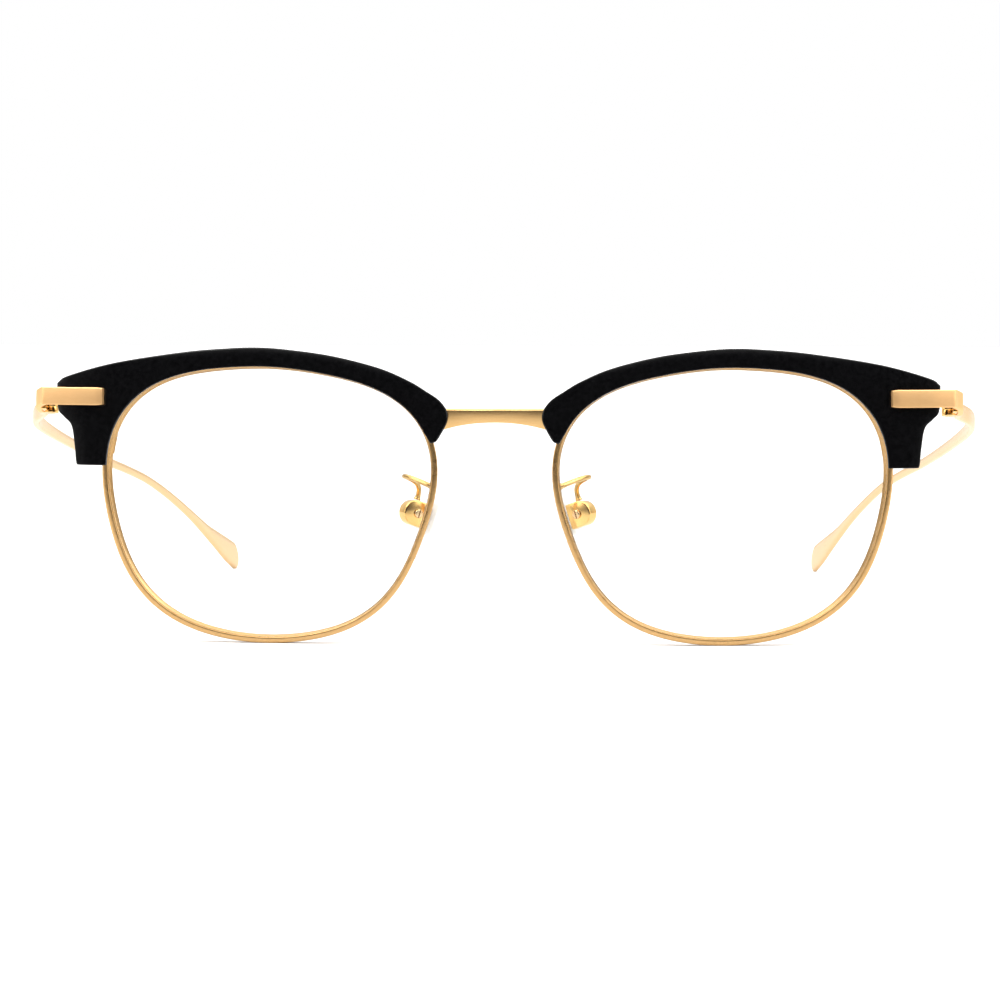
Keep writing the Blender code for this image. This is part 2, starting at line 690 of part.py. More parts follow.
# ---------------------------------------------------------------- temple
# control stations: y, outer distance from the middle plane, height of the
# centre line, section height, section thickness
TEMPLE = [(14.8, 71.35, None, 2.64, 0.90), (17.2, 72.20, None, 2.60, 0.95), (21.5, 73.80, None, 2.48, 1.00),
          (27.0, 74.85, None, 2.30, 1.10), (35.0, 75.05, None, 2.00, 1.15), (46.0, 74.35, None, 1.80, 1.15),
          (60.0, 72.90, None, 1.65, 1.15), (74.0, 71.05, None, 1.50, 1.15), (86.0, 68.80, 21.9, 1.42, 1.15),
          (94.0, 67.00, 20.00, 1.40, 1.15), (102.0, 65.20, 17.55, 1.42, 1.15), (110.0, 63.40, 14.70, 1.50, 1.15),
          (118.0, 61.60, 11.55, 1.75, 1.15), (125.0, 60.05, 8.60, 2.35, 1.10), (131.0, 58.70, 6.22, 3.40, 1.05),
          (136.0, 57.65, 4.29, 4.35, 1.00), (140.0, 56.80, 2.84, 4.80, 0.95)]


def temple_rows():
    rows = []
    for y, x, z, h, t in TEMPLE:
        if z is None:
            z = hz - (y - hy) * math.tan(SLOPE)
        rows.append((x, y, z, h, t))
    return spline(rows, 2)


def make_temple():
    rows = temple_rows()
    rings = []

    def ring(c, up, out, h, t, k=0.24):
        a, b = h / 2, t / 2
        ka = min(k, 0.4 * a)
        kb = min(k, 0.6 * b)
        return [tuple(c + up * z + out * x) for x, z in
                ((b, -a + ka), (b, a - ka), (b - kb, a), (-b + kb, a),
                 (-b, a - ka), (-b, -a + ka), (-b + kb, -a), (b - kb, -a))]

    # root: parallel with the hinge
    mid = ARM_IN + TEMPLE_T / 2
    for y in (0.04, 1.2):
        c = np.array(hinge_frame(mid, y, 0.0))
        up = np.array(hinge_frame(0, 0, 1)) - np.array(hinge_frame(0, 0, 0))
        rings.append(ring(c, up, np.array((-1.0, 0, 0)), PLATE_H - 0.06, TEMPLE_T))
    n = len(rows)
    pos = np.column_stack([-rows[:, 0], rows[:, 1], rows[:, 2]])
    for i in range(n):
        a, b = pos[max(i - 1, 0)], pos[min(i + 1, n - 1)]
        t = (b - a) / np.linalg.norm(b - a)
        if i == 0:
            t = np.array((0.0, CO, -SI))
        out = np.cross(t, (0.0, 0.0, 1.0))
        out /= np.linalg.norm(out)
        if out[0] > 0:
            out = -out
        up = np.cross(t, out)
        if up[2] < 0:
            up = -up
        rings.append(ring(pos[i], up, out, rows[i, 3], rows[i, 4]))
        last = (pos[i], t, up, out, rows[i, 3], rows[i, 4])
    # rounded, oblique end of the tip
    c, t, up, out, h, th = last
    for k, drop_h, scale in ((1.3, -0.10, 0.93), (2.4, -0.28, 0.76), (3.1, -0.45, 0.50), (3.45, -0.60, 0.22)):
        rings.append(ring(c + t * k + up * drop_h * 1.2, up, out, h * scale, th * (0.6 + 0.4 * scale), 0.2 * scale))
    return loft("temple", rings)


pair(make_temple(), "temple", GOLD, sharp=32.0, origin=(-hx, hy, hz))

# ---------------------------------------------------------------- nose pads
px, py, pz = PAD_SCREW
CS, SS = math.cos(PAD_SPLAY), math.sin(PAD_SPLAY)
CF, SF = math.cos(PAD_FRONTAL), math.sin(PAD_FRONTAL)
PAD_N = Vector((CS * CF, SS * CF, -SF))       # towards the nose
PAD_D = Vector((-SS, CS, 0.0))                # along the pivot screw, to the back
PAD_V = PAD_N.cross(PAD_D)                    # up along the pad


def pad_frame(n, v, d):
    """From the right pad's frame: n towards the nose, v up, d along the screw."""
    p = Vector((-px, py, pz)) + PAD_N * n + PAD_V * v + PAD_D * d
    return tuple(p)


def into_pad(ob):
    """The pad frame is left-handed as (n, v, d), so normals are turned back."""
    warp(ob, pad_frame)
    if PAD_N.cross(PAD_V).dot(PAD_D) < 0:
        ob.data.flip_normals()
    return ob


# box on the end of the arm: round behind, square in front, open to the nose
arc = [(-0.35 - 2.0 * math.sin(a), 2.0 * math.cos(a)) for a in np.linspace(0.0, math.pi, 11)]
ob = outline_plate("box", arc + [(1.70, -2.0), (1.70, 2.0)], -1.12, 1.12)
ob = bevelled(ob, 0.18, 1)
ob = boolean(ob, box("pocket", (-1.15, -1.22, -0.52), (2.2, 1.22, 0.52)))
ob = boolean(ob, rod("bore", (0, 0, -2), (0, 0, 2), 0.46, 12))
pair(into_pad(ob), "pad_box", GOLD)

ob = turned("pad_screw", (0, 0, -1.55), (0, 0, 1),
            [(0.0, 0.0), (0.55, 0.0), (0.68, 0.12), (0.68, 0.40), (0.40, 0.40), (0.40, 2.62), (0.0, 2.62)], 12)
ob = boolean(ob, box("slot", (-0.1, -1.0, -2.0), (0.1, 1.0, -1.36)))
pair(into_pad(ob), "pad_screw", STEEL)

# core: tab on the screw and the plate moulded into the silicone
ob = box("tab", (-0.62, -0.86, -0.42), (2.6, 0.86, 0.42))
ob = boolean(ob, box("plate", (2.35, -2.6, -1.3), (3.05, 2.6, 1.3)), 'UNION')
ob = boolean(ob, rod("bore", (0, 0, -2), (0, 0, 2), 0.45, 12))
pair(into_pad(ob), "pad_core", CORE, origin=(-px, py, pz))


def make_pad():
    """Flat-faced oval with rounded edges, broader at the bottom."""
    pts = []
    for i in range(28):
        a = 2 * math.pi * i / 28
        c, s = math.cos(a), math.sin(a)
        v = PAD_L / 2 * math.copysign(abs(s) ** (2 / 2.3), s)
        wide = PAD_W / 2 * (1.0 - 0.16 * v / (PAD_L / 2))
        pts.append((wide * math.copysign(abs(c) ** (2 / 2.3), c), v))
    ob = outline_plate("pad", pts, 2.22, 2.22 + PAD_T)
    ob = bevelled(ob, 0.75, 3)
    # (d, v, n) to (n, v, d): the outline was drawn across the screw
    warp(ob, lambda a, b, c: (c, b, a))
    ob.data.flip_normals()
    ob = boolean(ob, box("pocket", (2.0, -2.65, -1.35), (3.10, 2.65, 1.35)))
    return into_pad(ob)


pair(make_pad(), "nose_pad", SILICONE, origin=(-px, py, pz))

# arm: leaves the back of the eyewire, loops outward and comes down on the box
ARM = [(-9.60, 2.35, 24.00), (-10.60, 3.05, 24.35), (-12.10, 4.10, 24.90), (-13.50, 5.30, 25.30),
       (-14.25, 6.80, 25.35), (-13.95, 8.40, 25.10), (-13.10, 9.60, 24.60), (-12.50, 10.60, 23.95),
       (-12.28, 11.45, 23.15), (-12.38, 12.00, 22.35), (-12.52, 12.20, 21.80), (-12.64, 12.15, 21.43)]
ob = wire("pad_arm", [tuple(p) for p in spline(ARM, 2)], 0.40, 1)
pair(ob, "pad_arm", GOLD)

# ---------------------------------------------------------------- pivots
for s, tag in ((-1, "r"), (1, "l")):
    for name, at, pieces in (("temple_axis_", (s * hx, hy, hz), ("temple_", "hinge_temple_")),
                             ("pad_axis_", (s * px, py, pz), ("nose_pad_", "pad_core_"))):
        e = bpy.data.objects.new(name + tag, None)
        e.empty_display_size = 0.004
        PARTS.objects.link(e)
        e.location = (Vector(at) + Vector((0.0, Y_SHIFT, 0.0))) * MM
        for p in pieces:
            o = bpy.data.objects[p + tag]
            o.parent = e
            o.location = (0.0, 0.0, 0.0)

bpy.context.view_layer.update()
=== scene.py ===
"""Looks of the half rim eyeglasses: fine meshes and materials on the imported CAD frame.

Shapes are built in millimetres in the glasses' own frame (front faces -Y) and
placed in metres. Suffix _r is the wearer's right, the -X side.
"""
import json
import math

import bmesh
import bpy
import numpy as np
from mathutils import Matrix, Vector


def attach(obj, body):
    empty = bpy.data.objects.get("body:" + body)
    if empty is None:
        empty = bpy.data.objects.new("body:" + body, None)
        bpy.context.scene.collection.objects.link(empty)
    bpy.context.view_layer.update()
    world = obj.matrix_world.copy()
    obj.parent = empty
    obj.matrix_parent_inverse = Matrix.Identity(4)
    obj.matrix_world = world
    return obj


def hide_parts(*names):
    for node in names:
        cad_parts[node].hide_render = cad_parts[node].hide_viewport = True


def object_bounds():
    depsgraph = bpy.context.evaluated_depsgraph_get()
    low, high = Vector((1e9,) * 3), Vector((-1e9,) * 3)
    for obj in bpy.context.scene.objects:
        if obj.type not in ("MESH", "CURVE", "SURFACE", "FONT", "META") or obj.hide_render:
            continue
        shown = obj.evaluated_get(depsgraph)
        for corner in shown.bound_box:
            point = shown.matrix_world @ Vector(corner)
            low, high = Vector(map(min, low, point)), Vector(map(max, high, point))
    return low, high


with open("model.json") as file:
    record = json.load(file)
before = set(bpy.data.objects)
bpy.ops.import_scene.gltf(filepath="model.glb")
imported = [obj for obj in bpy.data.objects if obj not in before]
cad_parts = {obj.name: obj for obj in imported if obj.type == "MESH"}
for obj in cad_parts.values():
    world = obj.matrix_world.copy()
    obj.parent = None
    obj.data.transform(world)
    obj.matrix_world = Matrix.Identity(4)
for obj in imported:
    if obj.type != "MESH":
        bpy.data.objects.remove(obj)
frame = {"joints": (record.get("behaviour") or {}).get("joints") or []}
CAD_LO, CAD_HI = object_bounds()
JOINTS = {j["name"]: j for j in frame["joints"]}

MM = 0.001
FINE = 1                     # 1 is the full mesh; larger numbers are coarser

# ------------------------------------------------------------------ numbers
FACE_R = 125.0
WRAP = math.radians(4.0)
EYE_X = 34.83
EYE_Z = 21.55
EYE_R0 = 23.49
EYE_HARM = ((-0.22, 0.67), (2.16, -0.11), (0.11, 0.95),
            (-0.57, 0.13), (0.06, 0.28), (-0.20, 0.07))
RIM_HALF, RIM_DEPTH, GROOVE_APEX, GROOVE_HALF = 0.45, 1.0, -0.12, 0.62
LENS_HALF = 0.80
BROW_FRONT, BROW_BACK, BROW_LIP = 2.2, -0.8, 1.05
PLATE_T, PLATE_H, PLATE_Z, STRAP_IN, STRAP_BEND = 0.85, 2.72, 37.65, 60.35, 70.0
SLOPE = math.radians(10.8)
BARREL_R, BARREL_H, KNUCKLE_H, HINGE_PIN_R, ARM_IN, TEMPLE_T = 1.10, 2.9, 1.0, 0.50, 1.20, 0.90
LOCK_U, LOCK_V, LOCK_W = (-28.3, -24.9), (7.3, 12.1), (-2.5, -0.3)
LOCK_SPLIT, LOCK_SCREW = 9.75, (-26.85, -1.45)
LUG_ANGLE, LUG_OFFSET = math.radians(34.8), 1.40
RIVETS, RIVET_V = (-27.6, -30.9), 15.85

# the joints' axes give the places of the hinges and the pads
hx, hy_world, hz = [c / MM for c in JOINTS["temple_fold_l"]["pos_m"]]
px, py_world, pz = [c / MM for c in JOINTS["pad_rock_l"]["pos_m"]]
hy = 11.4
Y_SHIFT = hy_world - hy
py = py_world - Y_SHIFT
CO, SI = math.cos(SLOPE), math.sin(SLOPE)


# ------------------------------------------------------------------ meshes
def mesh_object(name, verts, faces):
    """A mesh object from points in millimetres."""
    me = bpy.data.meshes.new(name)
    me.from_pydata([tuple(float(c) * MM for c in v) for v in verts], [], [list(map(int, f)) for f in faces])
    me.update()
    ob = bpy.data.objects.new(name, me)
    bpy.context.scene.collection.objects.link(ob)
    return ob


def skin(name, rings, cyclic=False, caps=True):
    """A closed skin over rings of points, turned outward, with a UV map that runs
    along the piece (u) and round its section (v), in centimetres."""
    R = np.array(rings, float)
    N, M, _ = R.shape
    V = R.reshape(-1, 3)
    ni = N if cyclic else N - 1
    I, J = np.meshgrid(np.arange(ni), np.arange(M), indexing="ij")
    I, J = I.ravel(), J.ravel()
    I2, J2 = (I + 1) % N, (J + 1) % M
    quads = np.stack([I * M + J, I * M + J2, I2 * M + J2, I2 * M + J], 1)
    a, b, c, d = (V[quads[:, k]] for k in range(4))
    vol = (np.einsum("ij,ij->i", a, np.cross(b, c)) + np.einsum("ij,ij->i", a, np.cross(c, d))).sum()
    ends = []
    if caps and not cyclic:
        ends = [list(range(M))[::-1], list(range((N - 1) * M, N * M))]
        for e in ends:
            p = V[e]
            vol += np.einsum("ij,ij->i", np.repeat(p[:1], len(p) - 2, 0), np.cross(p[1:-1], p[2:])).sum()
    if vol < 0:
        quads = quads[:, ::-1]
        ends = [e[::-1] for e in ends]
    ob = mesh_object(name, V, [list(q) for q in quads] + ends)
    me = ob.data
    cen = R.mean(1)
    step = np.linalg.norm(np.diff(np.vstack([cen, cen[:1]]), axis=0), axis=1)
    run = np.concatenate([[0.0], np.cumsum(step)]) * 0.1
    mid = R[N // 2]
    girth = np.concatenate([[0.0], np.cumsum(np.linalg.norm(np.diff(np.vstack([mid, mid[:1]]), axis=0), axis=1))]) * 0.1
    uv = me.uv_layers.new(name="along")
    lv = np.empty(len(me.loops), int)
    me.loops.foreach_get("vertex_index", lv)
    poly = np.repeat(np.arange(len(me.polygons)), [p.loop_total for p in me.polygons])
    vi, vj = lv // M, lv % M
    isq = poly < len(quads)
    pi = np.where(isq, I[np.minimum(poly, len(I) - 1)], vi)
    pj = np.where(isq, J[np.minimum(poly, len(J) - 1)], vj)
    ui = np.where(isq & (pi == N - 1) & (vi == 0) & cyclic, N, vi)
    uj = np.where(isq & (pj == M - 1) & (vj == 0), M, vj)
    out = np.empty((len(lv), 2))
    out[:, 0], out[:, 1] = run[ui], girth[uj]
    uv.data.foreach_set("uv", out.ravel())
    return ob


def face_out(bm):
    bmesh.ops.recalc_face_normals(bm, faces=bm.faces)
    if bm.calc_volume(signed=True) < 0.0:
        bmesh.ops.reverse_faces(bm, faces=bm.faces)


def drop(ob):
    bpy.data.objects.remove(ob, do_unlink=True)


def bake(ob):
    """Applies the modifiers and turns a curve into a mesh."""
    bpy.context.view_layer.update()
    dg = bpy.context.evaluated_depsgraph_get()
    me = bpy.data.meshes.new_from_object(ob.evaluated_get(dg), depsgraph=dg)
    me.transform(ob.matrix_world)
    bm = bmesh.new()
    bm.from_mesh(me)
    bmesh.ops.remove_doubles(bm, verts=bm.verts, dist=1e-6)
    bmesh.ops.dissolve_degenerate(bm, dist=5e-7, edges=bm.edges)
    face_out(bm)
    bm.to_mesh(me)
    bm.free()
    name = ob.name
    drop(ob)
    new = bpy.data.objects.new(name, me)
    bpy.context.scene.collection.objects.link(new)
    return new


def from_bmesh(name, bm):
    face_out(bm)
    me = bpy.data.meshes.new(name)
    bm.to_mesh(me)
    bm.free()
    ob = bpy.data.objects.new(name, me)
    bpy.context.scene.collection.objects.link(ob)
    return ob


def box(name, lo, hi):
    bm = bmesh.new()
    bmesh.ops.create_cube(bm, size=1.0)
    for v in bm.verts:
        v.co = Vector([(lo[i] + hi[i]) / 2 + v.co[i] * (hi[i] - lo[i]) for i in range(3)]) * MM
    return from_bmesh(name, bm)


def rod(name, a, b, radius, steps=48):
    a, b = Vector(a), Vector(b)
    bm = bmesh.new()
    bmesh.ops.create_cone(bm, cap_ends=True, segments=steps, radius1=radius * MM,
                          radius2=radius * MM, depth=(b - a).length * MM)
    rot = (b - a).to_track_quat('Z', 'Y').to_matrix().to_4x4()
    bm.transform(Matrix.Translation((a + b) / 2 * MM) @ rot)
    return from_bmesh(name, bm)


def turned(name, a, axis, profile, steps=48):
    """A turned piece from (radius, height) pairs."""
    rot = Vector(axis).to_track_quat('Z', 'Y').to_matrix()
    rings = []
    for r, z in profile:
        rr = max(r, 0.002)
        rings.append([tuple(Vector(a) + rot @ Vector((rr * math.cos(t), rr * math.sin(t), z)))
                      for t in [2 * math.pi * k / steps for k in range(steps)]])
    return skin(name, rings)


def rounded(profile, radius=0.06, segs=3):
    """Rounds the inner corners of an open (r, z) profile."""
    p = [np.array(q, float) for q in profile]
    out = [p[0]]
    for a, b, c in zip(p, p[1:], p[2:]):
        u, v = a - b, c - b
        lu, lv = np.linalg.norm(u), np.linalg.norm(v)
        if lu < 1e-6 or lv < 1e-6:
            out.append(b)
            continue
        u, v = u / lu, v / lv
        k = min(radius, 0.45 * lu, 0.45 * lv)
        for s in range(segs + 1):
            t = s / segs
            out.append((1 - t) ** 2 * (b + u * k) + 2 * t * (1 - t) * b + t * t * (b + v * k))
    out.append(p[-1])
    return [tuple(q) for q in out]


def plate(name, pts, lo, hi):
    """A flat outline in XY filled and extruded between two heights."""
    cu = bpy.data.curves.new(name, 'CURVE')
    cu.dimensions = '2D'
    cu.fill_mode = 'BOTH'
    cu.extrude = (hi - lo) / 2 * MM
    sp = cu.splines.new('POLY')
    sp.points.add(len(pts) - 1)
    sp.use_cyclic_u = True
    for p, (x, y) in zip(sp.points, pts):
        p.co = (x * MM, y * MM, 0.0, 1.0)
    ob = bpy.data.objects.new(name, cu)
    bpy.context.scene.collection.objects.link(ob)
    ob.location.z = (lo + hi) / 2 * MM
    bpy.context.view_layer.update()
    ob = bake(ob)
    bm = bmesh.new()
    bm.from_mesh(ob.data)
    bmesh.ops.dissolve_limit(bm, angle_limit=1e-3, verts=bm.verts, edges=bm.edges)
    bm.to_mesh(ob.data)
    bm.free()
    return ob


def boolean(ob, other, op='DIFFERENCE'):
    m = ob.modifiers.new("cut", 'BOOLEAN')
    m.operation = op
    m.solver = 'EXACT'
    m.object = other
    new = bake(ob)
    drop(other)
    return new


def bevelled(ob, width, segments=3, angle=35.0):
    m = ob.modifiers.new("edges", 'BEVEL')
    m.width = width * MM
    m.segments = segments
    m.limit_method = 'ANGLE'
    m.angle_limit = math.radians(angle)
    m.use_clamp_overlap = True
    return bake(ob)


def warp(ob, fn):
    """Moves every vertex by a function of its place in millimetres."""
    me = ob.data
    co = np.empty(len(me.vertices) * 3)
    me.vertices.foreach_get("co", co)
    co = np.array([fn(*(p / MM)) for p in co.reshape(-1, 3)]) * MM
    me.vertices.foreach_set("co", co.ravel())
    me.update()
    return ob


def turned_back(ob):
    """Outward faces again after a mirroring warp."""
    bm = bmesh.new()
    bm.from_mesh(ob.data)
    if bm.calc_volume(signed=True) < 0.0:
        bmesh.ops.reverse_faces(bm, faces=bm.faces)
        bm.to_mesh(ob.data)
    bm.free()
    return ob


def joined(name, obs):
    """Several closed bodies of one piece in one object."""
    bm = bmesh.new()
    for o in obs:
        bm.from_mesh(o.data)
        drop(o)
    me = bpy.data.meshes.new(name)
    bm.to_mesh(me)
    bm.free()
    ob = bpy.data.objects.new(name, me)
    bpy.context.scene.collection.objects.link(ob)
    return ob


def place(ob, name, body, node, mat, sharp=35.0):
    me = ob.data
    me.transform(Matrix.Translation(Vector((0.0, Y_SHIFT * MM, 0.0))))
    me.materials.clear()
    me.materials.append(mat)
    me.polygons.foreach_set("material_index", [0] * len(me.polygons))
    me.shade_smooth()
    me.set_sharp_from_angle(angle=math.radians(sharp))
    ob.name = name
    me.name = name
    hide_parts(*([node] if isinstance(node, str) else node))
    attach(ob, body)
    return ob


def pair(ob, name, body, node, mat, sharp=35.0):
    """Places the right-hand piece and its left-hand mirror image."""
    me = ob.data.copy()
    me.transform(Matrix.Scale(-1.0, 4, Vector((1.0, 0.0, 0.0))))
    me.flip_normals()
    left = bpy.data.objects.new(name + "_l", me)
    bpy.context.scene.collection.objects.link(left)
    sides = {}
    for o, tag in ((ob, "_r"), (left, "_l")):
        where = body if body == "front" else body + tag
        sides[tag] = place(o, name + tag, where, node + tag, mat, sharp)
    return sides


def spline(points, per_span):
    p = np.array(points, float)
    p = np.vstack([2 * p[0] - p[1], p, 2 * p[-1] - p[-2]])
    out = []
    for i in range(1, len(p) - 2):
        for k in range(per_span):
            t = k / per_span
            a, b, c, d = p[i - 1], p[i], p[i + 1], p[i + 2]
            out.append(0.5 * (2 * b + (c - a) * t + (2 * a - 5 * b + 4 * c - d) * t * t
                              + (3 * b - a - 3 * c + d) * t ** 3))
    out.append(p[-2])
    return np.array(out)


def smooth_line(points, count, rounds=0):
    """An even, smooth line of points through control points."""
    p = spline(points, 12)
    for _ in range(rounds):
        q = p.copy()
        q[1:-1] = (p[:-2] + 2 * p[1:-1] + p[2:]) / 4
        p = q
    s = np.concatenate([[0.0], np.cumsum(np.linalg.norm(np.diff(p, axis=0), axis=1))])
    t = np.linspace(0.0, s[-1], count)
    return np.stack([np.interp(t, s, p[:, k]) for k in range(p.shape[1])], 1)


# ------------------------------------------------------------------ eye space
def eye_point(theta, offset=0.0):
    def at(t):
        r = EYE_R0 + sum(a * math.cos((k + 1) * t) + b * math.sin((k + 1) * t)
                         for k, (a, b) in enumerate(EYE_HARM))
        return np.array((r * math.cos(t), r * math.sin(t)))
    d = at(theta + 1e-4) - at(theta - 1e-4)
    n = np.array((d[1], -d[0])) / np.hypot(*d)
    return at(theta) + n * offset


def even_angles(count):
    t = np.linspace(0.0, 2 * math.pi, 1441)
    p = np.array([eye_point(a) for a in t])
    s = np.concatenate([[0.0], np.cumsum(np.hypot(*np.diff(p, axis=0).T))])
    return [float(a) for a in np.interp(np.arange(count) / count * s[-1], s, t)]


ANGLES = even_angles(360 // FINE)


def face_form(u, v, w):
    rr = math.sqrt(FACE_R ** 2 - u * u - v * v)
    a = u + w * u / FACE_R
    b = v + w * v / FACE_R
    c = rr - FACE_R + w * rr / FACE_R
    return (-EYE_X + a * math.cos(WRAP) - c * math.sin(WRAP),
            -a * math.sin(WRAP) - c * math.cos(WRAP),
            EYE_Z + b)


def arc(cx, cy, r, a0, a1, n):
    return [(cx + r * math.cos(math.radians(a0 + (a1 - a0) * k / n)),
             cy + r * math.sin(math.radians(a0 + (a1 - a0) * k / n))) for k in range(n + 1)]


# ------------------------------------------------------------------ materials
class Nodes:
    """A small helper to wire a material's nodes."""

    def __init__(self, name):
        self.mat = bpy.data.materials.new(name)
        self.mat.use_nodes = True
        self.nt = self.mat.node_tree
        self.nt.nodes.clear()
        self.out = self.nt.nodes.new("ShaderNodeOutputMaterial")

    def add(self, kind, ins=None, **props):
        n = self.nt.nodes.new("ShaderNode" + kind)
        for k, v in props.items():
            setattr(n, k, v)
        for k, v in (ins or {}).items():
            if isinstance(v, bpy.types.NodeSocket):
                self.nt.links.new(v, n.inputs[k])
            else:
                n.inputs[k].default_value = v
        return n

    def coords(self, scale, kind="Object"):
        """Coordinates in millimetres, stretched by scale."""
        tc = self.add("TexCoord")
        k = 10.0 if kind == "UV" else 1000.0
        return self.add("Mapping", {"Vector": tc.outputs[kind], "Scale": tuple(s * k for s in scale)}).outputs[0]

    def noise(self, vec, scale=1.0, detail=3.0, rough=0.55):
        return self.add("TexNoise", {"Vector": vec, "Scale": scale, "Detail": detail, "Roughness": rough}).outputs["Fac"]

    def span(self, value, lo, hi, a, b):
        return self.add("MapRange", {"Value": value, "From Min": a, "From Max": b, "To Min": lo, "To Max": hi}).outputs[0]

    def math(self, op, a, b=0.0):
        return self.add("Math", {0: a, 1: b}, operation=op).outputs[0]

    def ramp(self, fac, c0, c1):
        n = self.add("Mix", {"Factor": fac}, data_type='RGBA')
        n.inputs[6].default_value = (*c0, 1.0)
        n.inputs[7].default_value = (*c1, 1.0)
        return n.outputs[2]

    def painted_dark_reflection(self, col, lo, hi, amount):
        """Painted dark reflection: the metal colour is darkened towards a dark brown where the surface turns away from
        the eye, standing in for the dark of the room mirrored there.
        """
        turned = self.add("LayerWeight", {"Blend": 0.5}).outputs["Facing"]
        n = self.add("Mix", {"Factor": self.span(turned, 0.0, amount, lo, hi), 6: col}, data_type='RGBA')
        # painted dark reflection: the dark brown mixed in at turned-away faces
        n.inputs[7].default_value = (0.075, 0.036, 0.010, 1.0)
        return n.outputs[2]

    def bump(self, height, dist_mm, strength=1.0, normal=None):
        ins = {"Height": height, "Distance": dist_mm * MM, "Strength": strength}
        if normal is not None:
            ins["Normal"] = normal
        return self.add("Bump", ins).outputs[0]

    def finish(self, shader):
        self.nt.links.new(shader, self.out.inputs["Surface"])
        return self.mat


def gold_brushed(name, base, dark, rough, stretch, kind="Object", aniso=0.45, edge=0.05, painted_dark_reflection=None):
    """Brushed plate or wire: long fine scratches over the gold."""
    n = Nodes(name)
    fine = n.noise(n.coords(stretch, kind), 1.0, 4.0, 0.6)
    broad = n.noise(n.coords(tuple(s * 0.16 for s in stretch), kind), 1.0, 2.0, 0.5)
    cloud = n.noise(n.coords((0.25, 0.25, 0.25), kind), 1.0, 2.0, 0.5)
    both = n.math('ADD', n.math('MULTIPLY', fine, 0.6), n.math('MULTIPLY', broad, 0.4))
    col = n.ramp(n.span(both, 0.0, 1.0, 0.32, 0.68), dark, base)
    # painted dark reflection where the wire turns away from the eye
    if painted_dark_reflection:
        col = n.painted_dark_reflection(col, *painted_dark_reflection)
    rg = n.math('ADD', n.span(fine, rough - 0.07, rough + 0.09, 0.3, 0.7), n.span(cloud, -0.03, 0.03, 0.3, 0.7))
    bev = n.add("Bevel", {"Radius": edge * MM}, samples=4).outputs[0]
    nor = n.bump(both, 0.006, 0.55, bev)
    tan = n.add("Tangent", direction_type='RADIAL', axis='Z').outputs[0]
    p = n.add("BsdfPrincipled", {"Base Color": col, "Metallic": 1.0, "Roughness": rg, "Normal": nor,
                                 "Anisotropic": aniso, "Tangent": tan})
    if painted_dark_reflection:
        p.inputs["Specular Tint"].default_value = (0.45, 0.32, 0.20, 1.0)
    return n.finish(p.outputs[0])


def gold_polished(name, base, dark, rough, edge=0.05):
    """Polished plating with faint handling marks."""
    n = Nodes(name)
    vec = n.coords((1.0, 1.0, 1.0))
    cloud = n.noise(vec, 0.35, 3.0, 0.5)
    micro = n.noise(vec, 9.0, 4.0, 0.6)
    rub = n.add("TexNoise", {"Vector": n.coords((0.6, 7.0, 7.0)), "Scale": 1.0, "Detail": 5.0}).outputs["Fac"]
    col = n.ramp(n.span(cloud, 0.0, 1.0, 0.35, 0.65), dark, base)
    rg = n.math('ADD', n.span(cloud, rough - 0.03, rough + 0.05, 0.3, 0.7), n.span(rub, 0.0, 0.06, 0.52, 0.75))
    bev = n.add("Bevel", {"Radius": edge * MM}, samples=4).outputs[0]
    nor = n.bump(n.math('ADD', micro, rub), 0.0016, 0.5, bev)
    p = n.add("BsdfPrincipled", {"Base Color": col, "Metallic": 1.0, "Roughness": rg, "Normal": nor})
    return n.finish(p.outputs[0])


def acetate(name):
    """Black cellulose acetate, tumbled and buffed."""
    n = Nodes(name)
    vec = n.coords((1.0, 1.0, 1.0))
    wave = n.noise(vec, 0.30, 2.0, 0.4)
    haze = n.noise(vec, 1.6, 4.0, 0.6)
    hair = n.noise(n.coords((1.1, 16.0, 16.0)), 1.0, 5.0, 0.65)
    col = n.ramp(n.span(haze, 0.0, 1.0, 0.35, 0.7), (0.0020, 0.0020, 0.0023), (0.0052, 0.0052, 0.0059))
    rg = n.math('ADD', n.span(haze, 0.07, 0.13, 0.3, 0.7), n.span(hair, 0.0, 0.10, 0.55, 0.8))
    nor = n.bump(wave, 0.020, 0.6, n.bump(hair, 0.0012, 0.35))
    p = n.add("BsdfPrincipled", {"Base Color": col, "Roughness": rg, "Normal": nor, "IOR": 1.50,
                                 "Coat Weight": 0.08, "Coat Roughness": 0.03, "Coat IOR": 1.48,
                                 "Specular IOR Level": 0.20})
    return n.finish(p.outputs[0])


def clear_lens(name):
    """A clear coated lens: what is behind it shows unbent, and it mirrors more at a slant."""
    n = Nodes(name)
    geo = n.add("NewGeometry")
    dot = n.add("VectorMath", {0: geo.outputs["Normal"], 1: geo.outputs["Incoming"]}, operation='DOT_PRODUCT').outputs["Value"]
    slant = n.math('SUBTRACT', 1.0, n.math('ABSOLUTE', dot))
    fres = n.math('ADD', n.math('MULTIPLY', n.math('POWER', slant, 5.0), 0.90), 0.014)
    smear = n.noise(n.coords((1.0, 1.0, 1.0)), 0.18, 3.0, 0.6)
    rg = n.span(smear, 0.010, 0.035, 0.35, 0.75)
    nor = n.bump(smear, 0.004, 0.4)
    gloss = n.add("BsdfGlossy", {"Color": (0.93, 0.97, 1.0, 1.0), "Roughness": rg, "Normal": nor})
    see = n.add("BsdfTransparent", {"Color": (0.988, 0.993, 0.991, 1.0)})
    mix = n.add("MixShader", {"Fac": fres, 1: see.outputs[0], 2: gloss.outputs[0]})
    return n.finish(mix.outputs[0])


